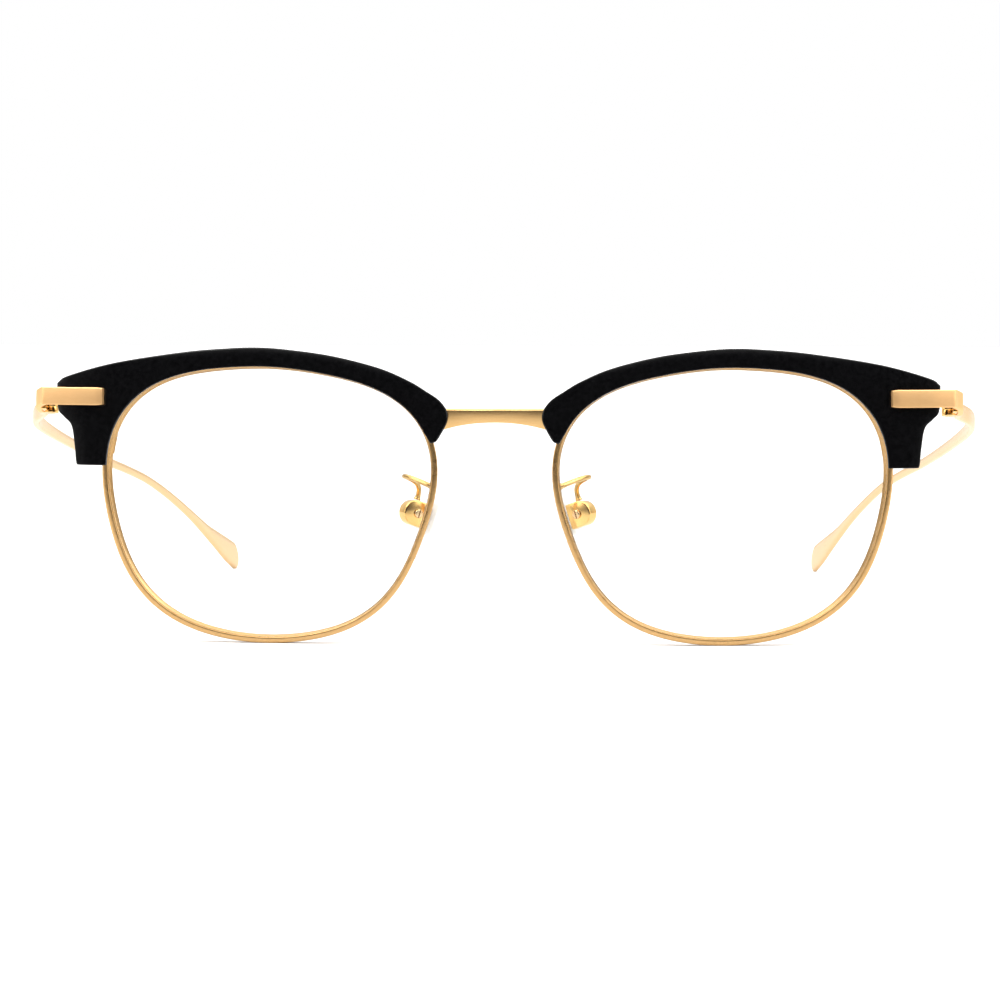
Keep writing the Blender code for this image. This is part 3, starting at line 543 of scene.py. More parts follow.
def silicone(name, clear=0.62):
    """Clear silicone: soft, slightly milky and see-through."""
    n = Nodes(name)
    vec = n.coords((1.0, 1.0, 1.0))
    cloud = n.noise(vec, 0.5, 3.0, 0.5)
    geo = n.add("NewGeometry")
    dot = n.add("VectorMath", {0: geo.outputs["Normal"], 1: geo.outputs["Incoming"]}, operation='DOT_PRODUCT').outputs["Value"]
    rim = n.math('POWER', n.math('SUBTRACT', 1.0, n.math('ABSOLUTE', dot)), 2.2)
    fac = n.math('ADD', n.span(cloud, 1.0 - clear - 0.05, 1.0 - clear + 0.05, 0.3, 0.7), n.math('MULTIPLY', rim, 0.35))
    nor = n.bump(n.noise(vec, 5.0, 3.0, 0.6), 0.003, 0.5)
    body = n.add("BsdfPrincipled", {"Base Color": (0.93, 0.93, 0.915, 1.0), "Roughness": n.span(cloud, 0.24, 0.36, 0.3, 0.7),
                                    "IOR": 1.41, "Normal": nor, "Subsurface Weight": 0.6,
                                    "Subsurface Radius": (0.0020, 0.0019, 0.0017), "Subsurface Scale": 1.0})
    see = n.add("BsdfTransparent", {"Color": (0.985, 0.985, 0.98, 1.0)})
    mix = n.add("MixShader", {"Fac": fac, 1: see.outputs[0], 2: body.outputs[0]})
    return n.finish(mix.outputs[0])


STRAP_GOLD = gold_brushed("strap_gold", (1.0, 0.63, 0.30), (0.95, 0.58, 0.26), 0.47, (0.7, 22.0, 22.0), aniso=0.5)
BRIDGE_GOLD = gold_brushed("bridge_gold", (0.86, 0.56, 0.25), (0.76, 0.47, 0.19), 0.17, (1.2, 20.0, 20.0), aniso=0.2)
# the eyewire gold carries a painted dark reflection at its turned-away edges
WIRE_GOLD = gold_brushed("wire_gold", (0.80, 0.50, 0.22), (0.62, 0.37, 0.15), 0.28, (0.9, 26.0, 1.0), kind="UV", aniso=0.0, edge=0.02,
                         painted_dark_reflection=(0.28, 0.75, 0.50))
GOLD = gold_polished("polished_gold", (0.93, 0.60, 0.22), (0.86, 0.52, 0.17), 0.09)
TEMPLE_GOLD = gold_brushed("temple_gold", (0.89, 0.60, 0.30), (0.82, 0.53, 0.25), 0.20, (0.5, 24.0, 1.0), kind="UV", aniso=0.0)
ARM_GOLD = gold_polished("arm_gold", (0.74, 0.49, 0.20), (0.50, 0.31, 0.11), 0.08)
SCREW_GOLD = gold_polished("screw_gold", (0.90, 0.66, 0.38), (0.80, 0.56, 0.30), 0.20, 0.03)
ACETATE = acetate("acetate_black")
LENS = clear_lens("lens_clear")
SILICONE = silicone("silicone_clear")
CORE = silicone("pad_core_clear", 0.45)

# ------------------------------------------------------------------ eyewire
PROFILE = ([(RIM_HALF, -0.84)] + arc(RIM_HALF - 0.15, 0.85, 0.15, 0, 66, 4)
           + [(0.18, 1.012), (0.06, 1.022), (-0.06, 1.022), (-0.18, 1.012)]
           + arc(-RIM_HALF + 0.15, 0.85, 0.15, 114, 180, 4)
           + [(-RIM_HALF, 0.70), (-RIM_HALF, GROOVE_HALF), (GROOVE_APEX, 0.0), (-RIM_HALF, -GROOVE_HALF)]
           + arc(-RIM_HALF + 0.14, -RIM_DEPTH + 0.14, 0.14, 180, 270, 3)
           + arc(RIM_HALF - 0.14, -RIM_DEPTH + 0.14, 0.14, 270, 352, 3))


def angle_at_v(v, offset=0.0):
    """The polar angle on the temple side where the eyewire passes height v."""
    lo, hi = math.radians(110.0), math.radians(178.0)
    for _ in range(60):
        mid = (lo + hi) / 2
        if eye_point(mid, offset)[1] > v:
            lo = mid
        else:
            hi = mid
    return (lo + hi) / 2


a0, a1 = angle_at_v(LOCK_SPLIT - 0.02), angle_at_v(LOCK_SPLIT + 0.02)
stations = [a0] + [a for a in ANGLES if a > a0 + 0.008] + [a + 2 * math.pi for a in ANGLES if a < a1 - 0.008] + [a1 + 2 * math.pi]
rim = skin("rim", [[face_form(*eye_point(t, o), w) for o, w in PROFILE] for t in stations])

# the closing block, in two halves, its screw hole and the lug for the brow screw
halves = []
for v0, v1 in ((LOCK_V[0], LOCK_SPLIT - 0.02), (LOCK_SPLIT + 0.02, LOCK_V[1])):
    b = bevelled(box("block", (LOCK_U[0], v0, LOCK_W[0]), (LOCK_U[1] + 0.15, v1, LOCK_W[1])), 0.16, 3)
    b = boolean(b, plate("plug", [eye_point(t, 0.10) for t in ANGLES[::2]], -3.0, 3.0))
    b = boolean(b, rod("bore", (LOCK_SCREW[0], LOCK_V[0] - 0.5, LOCK_SCREW[1]),
                       (LOCK_SCREW[0], LOCK_V[1] - 0.5, LOCK_SCREW[1]), 0.44, 40))
    halves.append(warp(b, face_form))
lx, ly = eye_point(LUG_ANGLE, LUG_OFFSET)
lug = bevelled(rod("lug", (lx, ly, -1.6), (lx, ly, -0.86), 1.05, 48), 0.12, 3)
na, nb = eye_point(LUG_ANGLE, 0.0), eye_point(LUG_ANGLE, LUG_OFFSET)
nd = (nb - na) / np.hypot(*(nb - na))
nn = np.array((-nd[1], nd[0])) * 0.8
neck = plate("neck", [na + nd * 0.05 - nn * 1.25, nb - nn, nb + nn, na + nd * 0.05 + nn * 1.25], -1.55, -0.90)
lug = boolean(lug, neck, 'UNION')
lug = boolean(lug, rod("hole", (lx, ly, -2.0), (lx, ly, -0.3), 0.54, 40))
halves.append(warp(lug, face_form))
uv_rim = rim
rim = joined("rim", [uv_rim] + halves)
pair(rim, "eyewire", "front", "rim", WIRE_GOLD, sharp=38.0)

# closing screw
s = turned("rim_screw", (LOCK_SCREW[0], LOCK_V[0] - 0.45, LOCK_SCREW[1]), (0, 1, 0),
           rounded([(0.0, 0.0), (0.66, 0.0), (0.70, 0.08), (0.70, 0.41), (0.38, 0.41), (0.38, 4.30), (0.0, 4.30)], 0.05))
s = boolean(s, box("slot", (LOCK_SCREW[0] - 1.0, LOCK_V[0] - 1.0, LOCK_SCREW[1] - 0.1),
                   (LOCK_SCREW[0] + 1.0, LOCK_V[0] - 0.25, LOCK_SCREW[1] + 0.1)))
pair(warp(s, face_form), "rim_closing_screw", "front", "rim_screw", SCREW_GOLD)

# ------------------------------------------------------------------ lens
edge = [(-0.58, LENS_HALF), (-0.50, LENS_HALF - 0.07), (-0.50, GROOVE_HALF), (GROOVE_APEX - 0.05, 0.0),
        (-0.50, -GROOVE_HALF), (-0.50, -LENS_HALF + 0.07), (-0.58, -LENS_HALF)]
rings = []
shares = [0.01, 0.08, 0.18, 0.3, 0.42, 0.54, 0.66, 0.77, 0.87, 0.94, 0.98]
out_line = [eye_point(t, -0.58) for t in ANGLES]
for sh in shares:
    rings.append([face_form(sh * p[0], sh * p[1], LENS_HALF) for p in out_line])
for off, w in edge:
    rings.append([face_form(*eye_point(t, off), w) for t in ANGLES])
for sh in shares[::-1]:
    rings.append([face_form(sh * p[0], sh * p[1], -LENS_HALF) for p in out_line])
pair(skin("lens", rings), "lens_blank", "front", "lens", LENS, sharp=30.0)

# ------------------------------------------------------------------ brow
RIBS = [(20.0, 25.45, 9.25), (22.5, 25.95, 9.95), (27.0, 26.9, 11.7), (29.5, 27.2, 12.65),
        (32.5, 27.15, 13.6), (35.5, 26.75, 14.5), (39.0, 25.75, 15.65), (43.0, 24.05, 16.8),
        (48.0, 21.4, 18.4), (55.0, 16.85, 20.35), (66.0, 9.95, 22.1), (79.0, 3.15, 23.05),
        (91.0, -1.5, 23.35), (103.0, -6.1, 23.2), (118.0, -12.95, 22.6), (137.0, -23.6, 20.95),
        (146.5, -30.9, 19.0), (149.2, -32.7, 18.0), (150.3, -32.95, 17.2), (155.0, -32.7, 13.9),
        (157.2, -31.7, 12.7), (160.0, -30.45, 11.4), (164.0, -29.9, 8.5), (167.3, -29.6, 5.8),
        (167.9, -29.15, 5.4)]
LIP = ((20.0, -0.20), (24.0, -0.50), (40.0, -0.60), (70.0, -0.55), (95.0, -0.52),
       (115.0, -0.50), (130.0, -0.62), (145.0, -0.72), (168.0, -0.65))


def table(rows, x):
    return float(np.interp(x, [a for a, _ in rows], [b for _, b in rows]))


def brow_ring(theta_deg, outer, inset=0.0):
    """One section of the brow, its front edges rounded, its face a little crowned."""
    t = math.radians(theta_deg)
    inner = eye_point(t, table(LIP, theta_deg))
    width = float(np.hypot(*(outer - inner)))
    d = (outer - inner) / width
    back = table(((35.8, BROW_LIP - 0.05), (39.2, BROW_BACK)), theta_deg)
    step = float(np.dot(eye_point(t, RIM_HALF + 0.12) - inner, d))
    if step > 0.7 * width or theta_deg < 30.0:
        step = 0.7 * width
    lip, front = BROW_LIP, BROW_FRONT
    r = min(0.32, 0.20 * width)
    ri = min(0.15, 0.08 * width)
    lean = min(0.36, 0.12 * width)          # the wall over the lens is cut back under the front edge
    rb = min(0.28, 0.12 * width)
    pts = []
    # inner wall, front edge, crowned face, outer edge, outer wall, back edge, back, step
    pts += [(lean, lip), (lean * 0.72, lip + 0.14), (lean * 0.30, lip + 0.42), (lean * 0.06, lip + 0.74)]
    pts += [(ri - ri * math.cos(a), front - ri + ri * math.sin(a)) for a in np.linspace(0.0, math.pi / 2, 8)]
    pts += [(ri + (width - ri - r) * k, front + 0.10 * 4 * k * (1 - k) * min(1.0, width / 4.0))
            for k in (0.08, 0.2, 0.35, 0.5, 0.65, 0.8, 0.92)]
    pts += [(width - r + r * math.sin(a), front - r + r * math.cos(a)) for a in np.linspace(0.0, math.pi / 2, 8)]
    pts += [(width - rb * (1 - math.cos(a)), back + rb * (1 - math.sin(a))) for a in np.linspace(0.0, math.pi / 2, 5)]
    pts += [(step + (width - rb - step) * 0.5, back), (step + 0.05, back), (step, back + 0.05 * (1 if back < lip - 0.2 else 0.2)),
            (step, lip)]
    cs, cw = width / 2, (front + min(back, lip)) / 2
    hs, hw = width / 2, (front - min(back, lip)) / 2
    fs, fw = 1 - inset / hs, 1 - inset / hw
    return [(*(inner + d * (cs + (a - cs) * fs)), cw + (b - cw) * fw) for a, b in pts]


outer_ctrl = [rib[1:] for rib in RIBS]
PER = 12
outer_line = spline(outer_ctrl, PER)
theta_line = np.interp(np.arange(len(outer_line)) / PER, range(len(RIBS)), [r[0] for r in RIBS])


def brow_at(k, inset=0.0):
    """The section at rib number k, which may be a fraction."""
    x = k * PER
    o = np.array([np.interp(x, range(len(outer_line)), outer_line[:, c]) for c in (0, 1)])
    return brow_ring(float(np.interp(x, range(len(theta_line)), theta_line)), o, inset)


last = len(RIBS) - 1
END_R = 0.30
first_len, last_len = 1.30, 0.64
rings = []
for a in np.linspace(math.pi / 2, 0.0, 7)[:-1]:
    rings.append(brow_at(END_R * (1 - math.sin(a)) / first_len, END_R * (1 - math.cos(a))))
k0, k1 = END_R / first_len, last - END_R / last_len
count = 300 // FINE
rings += [brow_at(k) for k in [k0] + [i / PER for i in range(len(outer_line)) if k0 + 0.03 < i / PER < k1 - 0.03] + [k1]]
for a in np.linspace(0.0, math.pi / 2, 7)[1:]:
    rings.append(brow_at(last - END_R * (1 - math.sin(a)) / last_len, END_R * (1 - math.cos(a))))
brow = skin("brow", rings)
brow = boolean(brow, bevelled(box("pocket", (LOCK_U[0] - 0.15, LOCK_V[0] - 0.8, -3.0),
                                  (LOCK_U[1] + 0.6, LOCK_V[1] + 0.2, LOCK_W[1] + 0.15)), 0.10, 2))
brow = boolean(brow, rod("hole", (lx, ly, -1.5), (lx, ly, 1.2), 0.54, 40))
for u in RIVETS:
    brow = boolean(brow, rod("hole", (u, RIVET_V, -1.5), (u, RIVET_V, 3.0), 0.49, 40))
pair(warp(brow, face_form), "acetate_brow", "front", "brow", ACETATE, sharp=50.0)

s = turned("brow_screw", (lx, ly, -2.08), (0, 0, 1),
           rounded([(0.0, 0.0), (0.70, 0.0), (0.80, 0.12), (0.80, 0.43), (0.49, 0.43), (0.49, 3.10), (0.0, 3.10)], 0.06))
s = boolean(s, box("slot", (lx - 1.0, ly - 0.1, -2.6), (lx + 1.0, ly + 0.1, -1.88)))
pair(warp(s, face_form), "brow_fixing_screw", "front", "brow_screw", SCREW_GOLD)

for u, tag in zip(RIVETS, ("inner", "outer")):
    dome = [(0.0, 0.0)] + [(0.85 * math.sin(a), 0.42 - 0.42 * math.cos(a)) for a in np.linspace(0.25, math.pi / 2, 8)]
    s = turned("rivet", (u, RIVET_V, -1.30), (0, 0, 1), dome + [(0.44, 0.42), (0.44, 3.50), (0.0, 3.50)])
    pair(warp(s, face_form), "rivet_" + tag, "front", "strap_rivet_" + tag, SCREW_GOLD)

# ------------------------------------------------------------------ bridge
rings = []
for x in np.linspace(-12.6, 12.6, 127):
    ax = abs(x)
    front = 0.80 - (0.62 * (0.5 + 0.5 * math.cos(math.pi * ax / 6.8)) if ax < 6.8 else 0.0)
    back = front + 1.10
    bottom = 33.9 - 0.95 * (ax / 7.3) ** 2.1
    top = 36.0 - 0.55 * min(max(ax - 7.6, 0.0) / 0.8, 1.0)
    sec = arc(front + 0.14, bottom + 0.14, 0.14, 180, 270, 3)
    sec += arc(back - 0.12, bottom + 0.12, 0.12, 270, 360, 3)
    sec += arc(back - 0.12, top - 0.12, 0.12, 0, 90, 3)
    sec += [(front + 0.31, top), (front + 0.27, top - 0.015), (front + 0.03, top - 0.20), (front, top - 0.25)]
    rings.append([(x, y, z) for y, z in sec])
bridge = skin("bridge", rings)
for sgn in (1, -1):
    plug = warp(plate("plug", [eye_point(t, RIM_HALF + 0.03) for t in ANGLES[::2]], -3.5, 3.5), face_form)
    if sgn < 0:
        plug.data.transform(Matrix.Scale(-1.0, 4, Vector((1.0, 0.0, 0.0))))
        plug.data.flip_normals()
    bridge = boolean(bridge, plug)
place(bridge, "bridge_bar", "front", "bridge", BRIDGE_GOLD, sharp=24.0)


# ------------------------------------------------------------------ strap
def hinge_frame(x, y, z):
    return (-(hx + x), hy + y * CO + z * SI, hz - y * SI + z * CO)


def strap_path():
    pts = []
    u0 = -(STRAP_IN - EYE_X) / math.cos(WRAP)
    u1 = -(STRAP_BEND - EYE_X) / math.cos(WRAP)
    for k in range(5):
        u = u0 + (u1 - u0) * k / 4
        x, y, _ = face_form(u / 1.02, 15.8, BROW_FRONT + 0.05 + PLATE_T)
        pts.append((x, y))
    cx, cy = pts[-1]
    ex = -(hx + ARM_IN + TEMPLE_T)
    pts += [(cx - 0.35, cy + 0.22), (cx - 0.62, cy + 0.95), (ex + 0.25, cy + 2.6), (ex, cy + 4.2), (ex, hy - 0.04)]
    return pts, ex


path, arm_x = strap_path()
front_part = smooth_line(path[:5], 40)
bend_part = smooth_line([path[4], path[5], path[6], path[7], path[8]], 46, 3)
back_part = np.linspace(bend_part[-1], path[9], 16)
outer = np.vstack([front_part, bend_part[1:], back_part[1:]])
for _ in range(2):
    q = outer.copy()
    q[1:-1] = (outer[:-2] + 2 * outer[1:-1] + outer[2:]) / 4
    outer = q
tang = np.gradient(outer, axis=0)
tang /= np.linalg.norm(tang, axis=1)[:, None]
inward = -np.stack([tang[:, 1], -tang[:, 0]], 1)
if inward[5][1] < 0:
    inward = -inward
y_bend, y_end = path[6][1], hy - 0.04
rings = []
H2 = PLATE_H / 2
n_st = len(outer)
for i, (p, d) in enumerate(zip(outer, inward)):
    c = 0.15
    # a small round at the free end of the front plate and at the hinge end
    ein = 0.0
    if i < 5:
        ein = 0.12 * (1 - math.sin(math.pi / 2 * i / 5))
    if i > n_st - 4:
        ein = 0.06 * (1 - math.sin(math.pi / 2 * (n_st - 1 - i) / 3))
    h = H2 - ein
    sec = []
    sec += [(a, b) for a, b in arc(c + ein * 0.7, -h + c, c, 180, 270, 4)]
    sec += [(a, b) for a, b in arc(PLATE_T - c - ein * 0.3, -h + c, c, 270, 360, 4)]
    sec += [(a, b) for a, b in arc(PLATE_T - c - ein * 0.3, h - c, c, 0, 90, 4)]
    sec += [(a, b) for a, b in arc(c + ein * 0.7, h - c, c, 90, 180, 4)]
    ring = []
    for a, z in sec:
        x, y = p + d * a
        k = min(max((y - y_bend) / (y_end - 1.5 - y_bend), 0.0), 1.0)
        lean = 0.124 * z * (1.0 - k) + math.tan(SLOPE) * z * k
        fall = (PLATE_Z - hz) / ((hy - y_bend) * math.tan(SLOPE))
        ring.append((x, y + lean, PLATE_Z + z - max(y - y_bend, 0.0) * math.tan(SLOPE) * fall))
    rings.append(ring)
pair(skin("strap", rings), "gold_strap", "front", "endpiece_strap", STRAP_GOLD, sharp=26.0)


# ------------------------------------------------------------------ hinge
def hinge_leaf(front):
    plate_h = PLATE_H / 2 - 0.15
    ya, yb = (-2.9, -0.10) if front else (0.10, 3.3)
    leaf = bevelled(box("leaf", (0.42, ya, -plate_h), (ARM_IN - 0.02, yb, plate_h)), 0.12, 3)
    half, k = BARREL_H / 2, KNUCKLE_H / 2
    spans = [(-half, -k - 0.03), (k + 0.03, half)] if front else [(-k, k)]
    other = [(-k - 0.03, k + 0.03)] if front else [(-half - 0.2, -k), (k, half + 0.2)]
    for a, b in other:
        leaf = boolean(leaf, rod("clear", (0, 0, a), (0, 0, b), BARREL_R + 0.10, 64))
    for a, b in spans:
        leaf = boolean(leaf, bevelled(rod("knuckle", (0, 0, a), (0, 0, b), BARREL_R, 64), 0.07, 2), 'UNION')
    leaf = boolean(leaf, rod("bore", (0, 0, -3), (0, 0, 3), HINGE_PIN_R + 0.05, 48))
    return turned_back(warp(leaf, hinge_frame))


pair(hinge_leaf(True), "hinge_leaf_front", "front", "hinge_front", GOLD, sharp=30.0)
pair(hinge_leaf(False), "hinge_leaf_temple", "temple", "hinge_temple", GOLD, sharp=30.0)

s = turned("hinge_screw", (0, 0, -BARREL_H / 2 - 0.10), (0, 0, 1),
           rounded([(0.0, 0.0), (HINGE_PIN_R - 0.1, 0.0), (HINGE_PIN_R, 0.1), (HINGE_PIN_R, BARREL_H + 0.14),
                    (0.92, BARREL_H + 0.14), (0.92, BARREL_H + 0.40), (0.70, BARREL_H + 0.58), (0.0, BARREL_H + 0.58)], 0.05))
top = BARREL_H / 2 + 0.48
s = boolean(s, box("slot", (-1.2, -0.11, top - 0.22), (1.2, 0.11, top + 0.5)))
pair(turned_back(warp(s, hinge_frame)), "hinge_pivot_screw", "front", "hinge_screw", SCREW_GOLD, sharp=30.0)

# ------------------------------------------------------------------ temple
TEMPLE = [(14.8, 71.35, None, 2.64, 0.90), (17.2, 72.20, None, 2.60, 0.95), (21.5, 73.80, None, 2.48, 1.00),
          (27.0, 74.85, None, 2.30, 1.10), (35.0, 75.05, None, 2.00, 1.15), (46.0, 74.35, None, 1.80, 1.15),
          (60.0, 72.90, None, 1.65, 1.15), (74.0, 71.05, None, 1.50, 1.15), (86.0, 68.80, 21.9, 1.42, 1.15),
          (94.0, 67.00, 20.00, 1.40, 1.15), (102.0, 65.20, 17.55, 1.42, 1.15), (110.0, 63.40, 14.70, 1.50, 1.15),
          (118.0, 61.60, 11.55, 1.75, 1.15), (125.0, 60.05, 8.60, 2.35, 1.10), (131.0, 58.70, 6.22, 3.40, 1.05),
          (136.0, 57.65, 4.29, 4.35, 1.00), (140.0, 56.80, 2.84, 4.80, 0.95)]


def super_ring(c, up, out, h, t, power, m=36):
    """A section between an oval and a rounded rectangle."""
    ring = []
    for k in range(m):
        a = 2 * math.pi * (k + 0.5) / m
        ca, sa = math.cos(a), math.sin(a)
        e = 2.0 / power
        ring.append(tuple(c + out * (t / 2 * math.copysign(abs(ca) ** e, ca)) + up * (h / 2 * math.copysign(abs(sa) ** e, sa))))
    return ring


rows = []
for y, x, z, h, t in TEMPLE:
    rows.append((x, y, hz - (y - hy) * math.tan(SLOPE) if z is None else z, h, t))
rows = spline(rows, 14)
rings = []
mid = ARM_IN + TEMPLE_T / 2
up0 = np.array(hinge_frame(0, 0, 1)) - np.array(hinge_frame(0, 0, 0))
for y, ins in ((0.04, 0.10), (0.06, 0.05), (0.10, 0.02), (0.16, 0.0), (0.6, 0.0), (1.2, 0.0), (1.9, 0.0)):
    rings.append(super_ring(np.array(hinge_frame(mid, y, 0.0)), up0, np.array((-1.0, 0, 0)),
                            PLATE_H - 0.06 - 2 * ins, TEMPLE_T - 2 * ins, 9.0))
pos = np.column_stack([-rows[:, 0], rows[:, 1], rows[:, 2]])
for i in range(len(rows)):
    a, b = pos[max(i - 1, 0)], pos[min(i + 1, len(rows) - 1)]
    t = (b - a) / np.linalg.norm(b - a)
    if i == 0:
        t = np.array((0.0, CO, -SI))
    out = np.cross(t, (0.0, 0.0, 1.0))
    out /= np.linalg.norm(out)
    if out[0] > 0:
        out = -out
    up = np.cross(t, out)
    if up[2] < 0:
        up = -up
    y = rows[i, 1]
    power = float(np.interp(y, (14.8, 24.0, 45.0, 95.0, 118.0, 132.0, 140.0), (9.0, 5.5, 3.2, 2.4, 2.5, 3.0, 3.2)))
    rings.append(super_ring(pos[i], up, out, rows[i, 3], rows[i, 4], power))
    end = (pos[i], t, up, out, rows[i, 3], rows[i, 4])
c, t, up, out, h, th = end
for a in np.linspace(0.0, math.pi / 2, 16)[1:]:
    run = 3.5 * math.sin(a)
    sc = max(math.cos(a) ** 0.85, 0.03)
    rings.append(super_ring(c + t * run - up * 0.72 * (run / 3.5) ** 1.5, up, out, h * sc, th * (0.55 + 0.45 * sc) * (1 if sc > 0.04 else 0.3), 3.0))
pair(skin("temple", rings), "temple_arm", "temple", "temple", TEMPLE_GOLD, sharp=40.0)

# ------------------------------------------------------------------ nose pads
PAD_SPLAY, PAD_FRONTAL = math.radians(30.0), math.radians(20.0)
CS, SS = math.cos(PAD_SPLAY), math.sin(PAD_SPLAY)
CF, SF = math.cos(PAD_FRONTAL), math.sin(PAD_FRONTAL)
PAD_N = Vector((CS * CF, SS * CF, -SF))
PAD_D = Vector((-SS, CS, 0.0))
PAD_V = PAD_N.cross(PAD_D)
PAD_L, PAD_W, PAD_T = 13.6, 7.8, 2.3


def pad_frame(n, v, d):
    return tuple(Vector((-px, py, pz)) + PAD_N * n + PAD_V * v + PAD_D * d)


shape = [(-0.35 - 2.0 * math.sin(a), 2.0 * math.cos(a)) for a in np.linspace(0.0, math.pi, 41)]
b = bevelled(plate("box", shape + [(1.70, -2.0), (1.70, 2.0)], -1.12, 1.12), 0.24, 4)
b = boolean(b, bevelled(box("pocket", (-1.15, -1.22, -0.52), (2.2, 1.22, 0.52)), 0.08, 2))
b = boolean(b, rod("bore", (0, 0, -2), (0, 0, 2), 0.46, 40))
pair(turned_back(warp(b, pad_frame)), "pad_clasp", "front", "pad_box", GOLD, sharp=30.0)

s = turned("pad_screw", (0, 0, -1.55), (0, 0, 1),
           rounded([(0.0, 0.0), (0.58, 0.0), (0.68, 0.12), (0.68, 0.40), (0.40, 0.40), (0.40, 2.62), (0.0, 2.62)], 0.05))
s = boolean(s, box("slot", (-0.1, -1.0, -2.0), (0.1, 1.0, -1.36)))
pair(turned_back(warp(s, pad_frame)), "pad_pivot_screw", "front", "pad_screw", SCREW_GOLD, sharp=30.0)

c1 = bevelled(box("tab", (-0.62, -0.86, -0.42), (2.6, 0.86, 0.42)), 0.10, 3)
c2 = bevelled(box("plate", (2.35, -2.6, -1.3), (3.05, 2.6, 1.3)), 0.25, 4)
core = boolean(c1, c2, 'UNION')
core = boolean(core, rod("bore", (0, 0, -2), (0, 0, 2), 0.45, 40))
pair(turned_back(warp(core, pad_frame)), "pad_insert", "pad", "pad_core", CORE, sharp=30.0)


def pad_ring(n, inset, m=96):
    ring = []
    for i in range(m):
        a = 2 * math.pi * i / m
        c, s_ = math.cos(a), math.sin(a)
        v = PAD_L / 2 * math.copysign(abs(s_) ** (2 / 2.3), s_)
        wide = PAD_W / 2 * (1.0 - 0.16 * v / (PAD_L / 2))
        d = wide * math.copysign(abs(c) ** (2 / 2.3), c)
        k = math.hypot(v, d)
        f = max(1.0 - inset / k, 0.004)
        ring.append(pad_frame(n, v * f, d * f))
    return ring


ER = 1.0
rings = []
n0, n1 = 2.22, 2.22 + PAD_T
for inset in (7.5, 5.0, 3.0, 2.0):
    rings.append(pad_ring(n0 + 0.0, inset))
for a in np.linspace(0.0, math.pi / 2, 9):
    rings.append(pad_ring(n0 + ER * (1 - math.cos(a)), ER * (1 - math.sin(a))))
for a in np.linspace(0.0, math.pi / 2, 9):
    rings.append(pad_ring(n1 - ER + ER * math.sin(a), ER * (1 - math.cos(a))))
for inset, rise in ((1.8, 0.04), (2.8, 0.08), (4.5, 0.11), (7.5, 0.12)):
    rings.append(pad_ring(n1 + rise, inset))
pair(skin("pad", rings), "silicone_pad", "pad", "nose_pad", SILICONE, sharp=60.0)

ARM = [(-9.60, 2.35, 24.00), (-10.60, 3.05, 24.35), (-12.10, 4.10, 24.90), (-13.50, 5.30, 25.30),
       (-14.25, 6.80, 25.35), (-13.95, 8.40, 25.10), (-13.10, 9.60, 24.60), (-12.50, 10.60, 23.95),
       (-12.28, 11.45, 23.15), (-12.38, 12.00, 22.35), (-12.52, 12.20, 21.80), (-12.64, 12.15, 21.43)]


def tube(name, line, radius, m=28):
    """A round wire along a line; radius is a function of the length run."""
    t = np.gradient(line, axis=0)
    t /= np.linalg.norm(t, axis=1)[:, None]
    run = np.concatenate([[0.0], np.cumsum(np.linalg.norm(np.diff(line, axis=0), axis=1))])
    side = np.cross(t[0], (0.3, 0.2, 1.0))
    side /= np.linalg.norm(side)
    rings = []
    for p, d, s_ in zip(line, t, run):
        side = side - d * np.dot(side, d)
        side /= np.linalg.norm(side)
        up = np.cross(d, side)
        r = radius(s_, run[-1])
        rings.append([tuple(p + side * (r * math.cos(2 * math.pi * k / m)) + up * (r * math.sin(2 * math.pi * k / m)))
                      for k in range(m)])
    return skin(name, rings)


# the wire thickens where it is brazed to the eyewire and to the box
arm = tube("arm", smooth_line(ARM, 110, 4),
           lambda s_, e: 0.40 + 0.22 * math.exp(-(s_ / 0.55) ** 2) + 0.16 * math.exp(-((e - s_) / 0.45) ** 2))
pair(arm, "pad_arm_wire", "front", "pad_arm", ARM_GOLD, sharp=50.0)

# ------------------------------------------------------------------ studio
scene = bpy.context.scene


def stage_material(name, lo, hi, rough):
    n = Nodes(name)
    vec = n.coords((0.01, 0.01, 0.01))
    f = n.noise(vec, 1.0, 4.0, 0.6)
    col = n.ramp(n.span(f, 0.0, 1.0, 0.3, 0.7), lo, hi)
    # painted shade: the table is greyer in reflections than to the camera, and darker towards the front
    seen = n.add("LightPath").outputs["Is Camera Ray"]
    where = n.add("SeparateXYZ", {0: n.add("NewGeometry").outputs["Position"]}).outputs["Y"]
    front_shade = n.span(where, 0.09, 0.62, -0.50, -0.16)
    grey = n.add("CombineColor", {0: front_shade, 1: front_shade, 2: front_shade}).outputs[0]
    tone = n.add("Mix", {"Factor": seen}, data_type='RGBA')
    n.nt.links.new(grey, tone.inputs[6])
    n.nt.links.new(col, tone.inputs[7])
    p = n.add("BsdfPrincipled", {"Base Color": tone.outputs[2], "Roughness": rough, "Specular IOR Level": 0.25})
    return n.finish(p.outputs[0])


bm = bmesh.new()
bmesh.ops.create_grid(bm, x_segments=1, y_segments=1, size=3.0)
me = bpy.data.meshes.new("table_top")
bm.to_mesh(me)
bm.free()
floor = bpy.data.objects.new("table_top", me)
scene.collection.objects.link(floor)
floor.location.z = min(CAD_LO.z, 0.0) - 0.00002
me.materials.append(stage_material("table_white", (0.93, 0.93, 0.93), (0.95, 0.95, 0.95), 0.45))

world = bpy.data.worlds.new("studio")
scene.world = world
world.use_nodes = True
nt = world.node_tree
nt.nodes.clear()
wout = nt.nodes.new("ShaderNodeOutputWorld")


def wadd(kind, ins=None, **props):
    n = nt.nodes.new("ShaderNode" + kind)
    for k, v in props.items():
        setattr(n, k, v)
    for k, v in (ins or {}).items():
        if isinstance(v, bpy.types.NodeSocket):
            nt.links.new(v, n.inputs[k])
        else:
            n.inputs[k].default_value = v
    return n


def wmath(op, a, b=0.0):
    return wadd("Math", {0: a, 1: b}, operation=op).outputs[0]


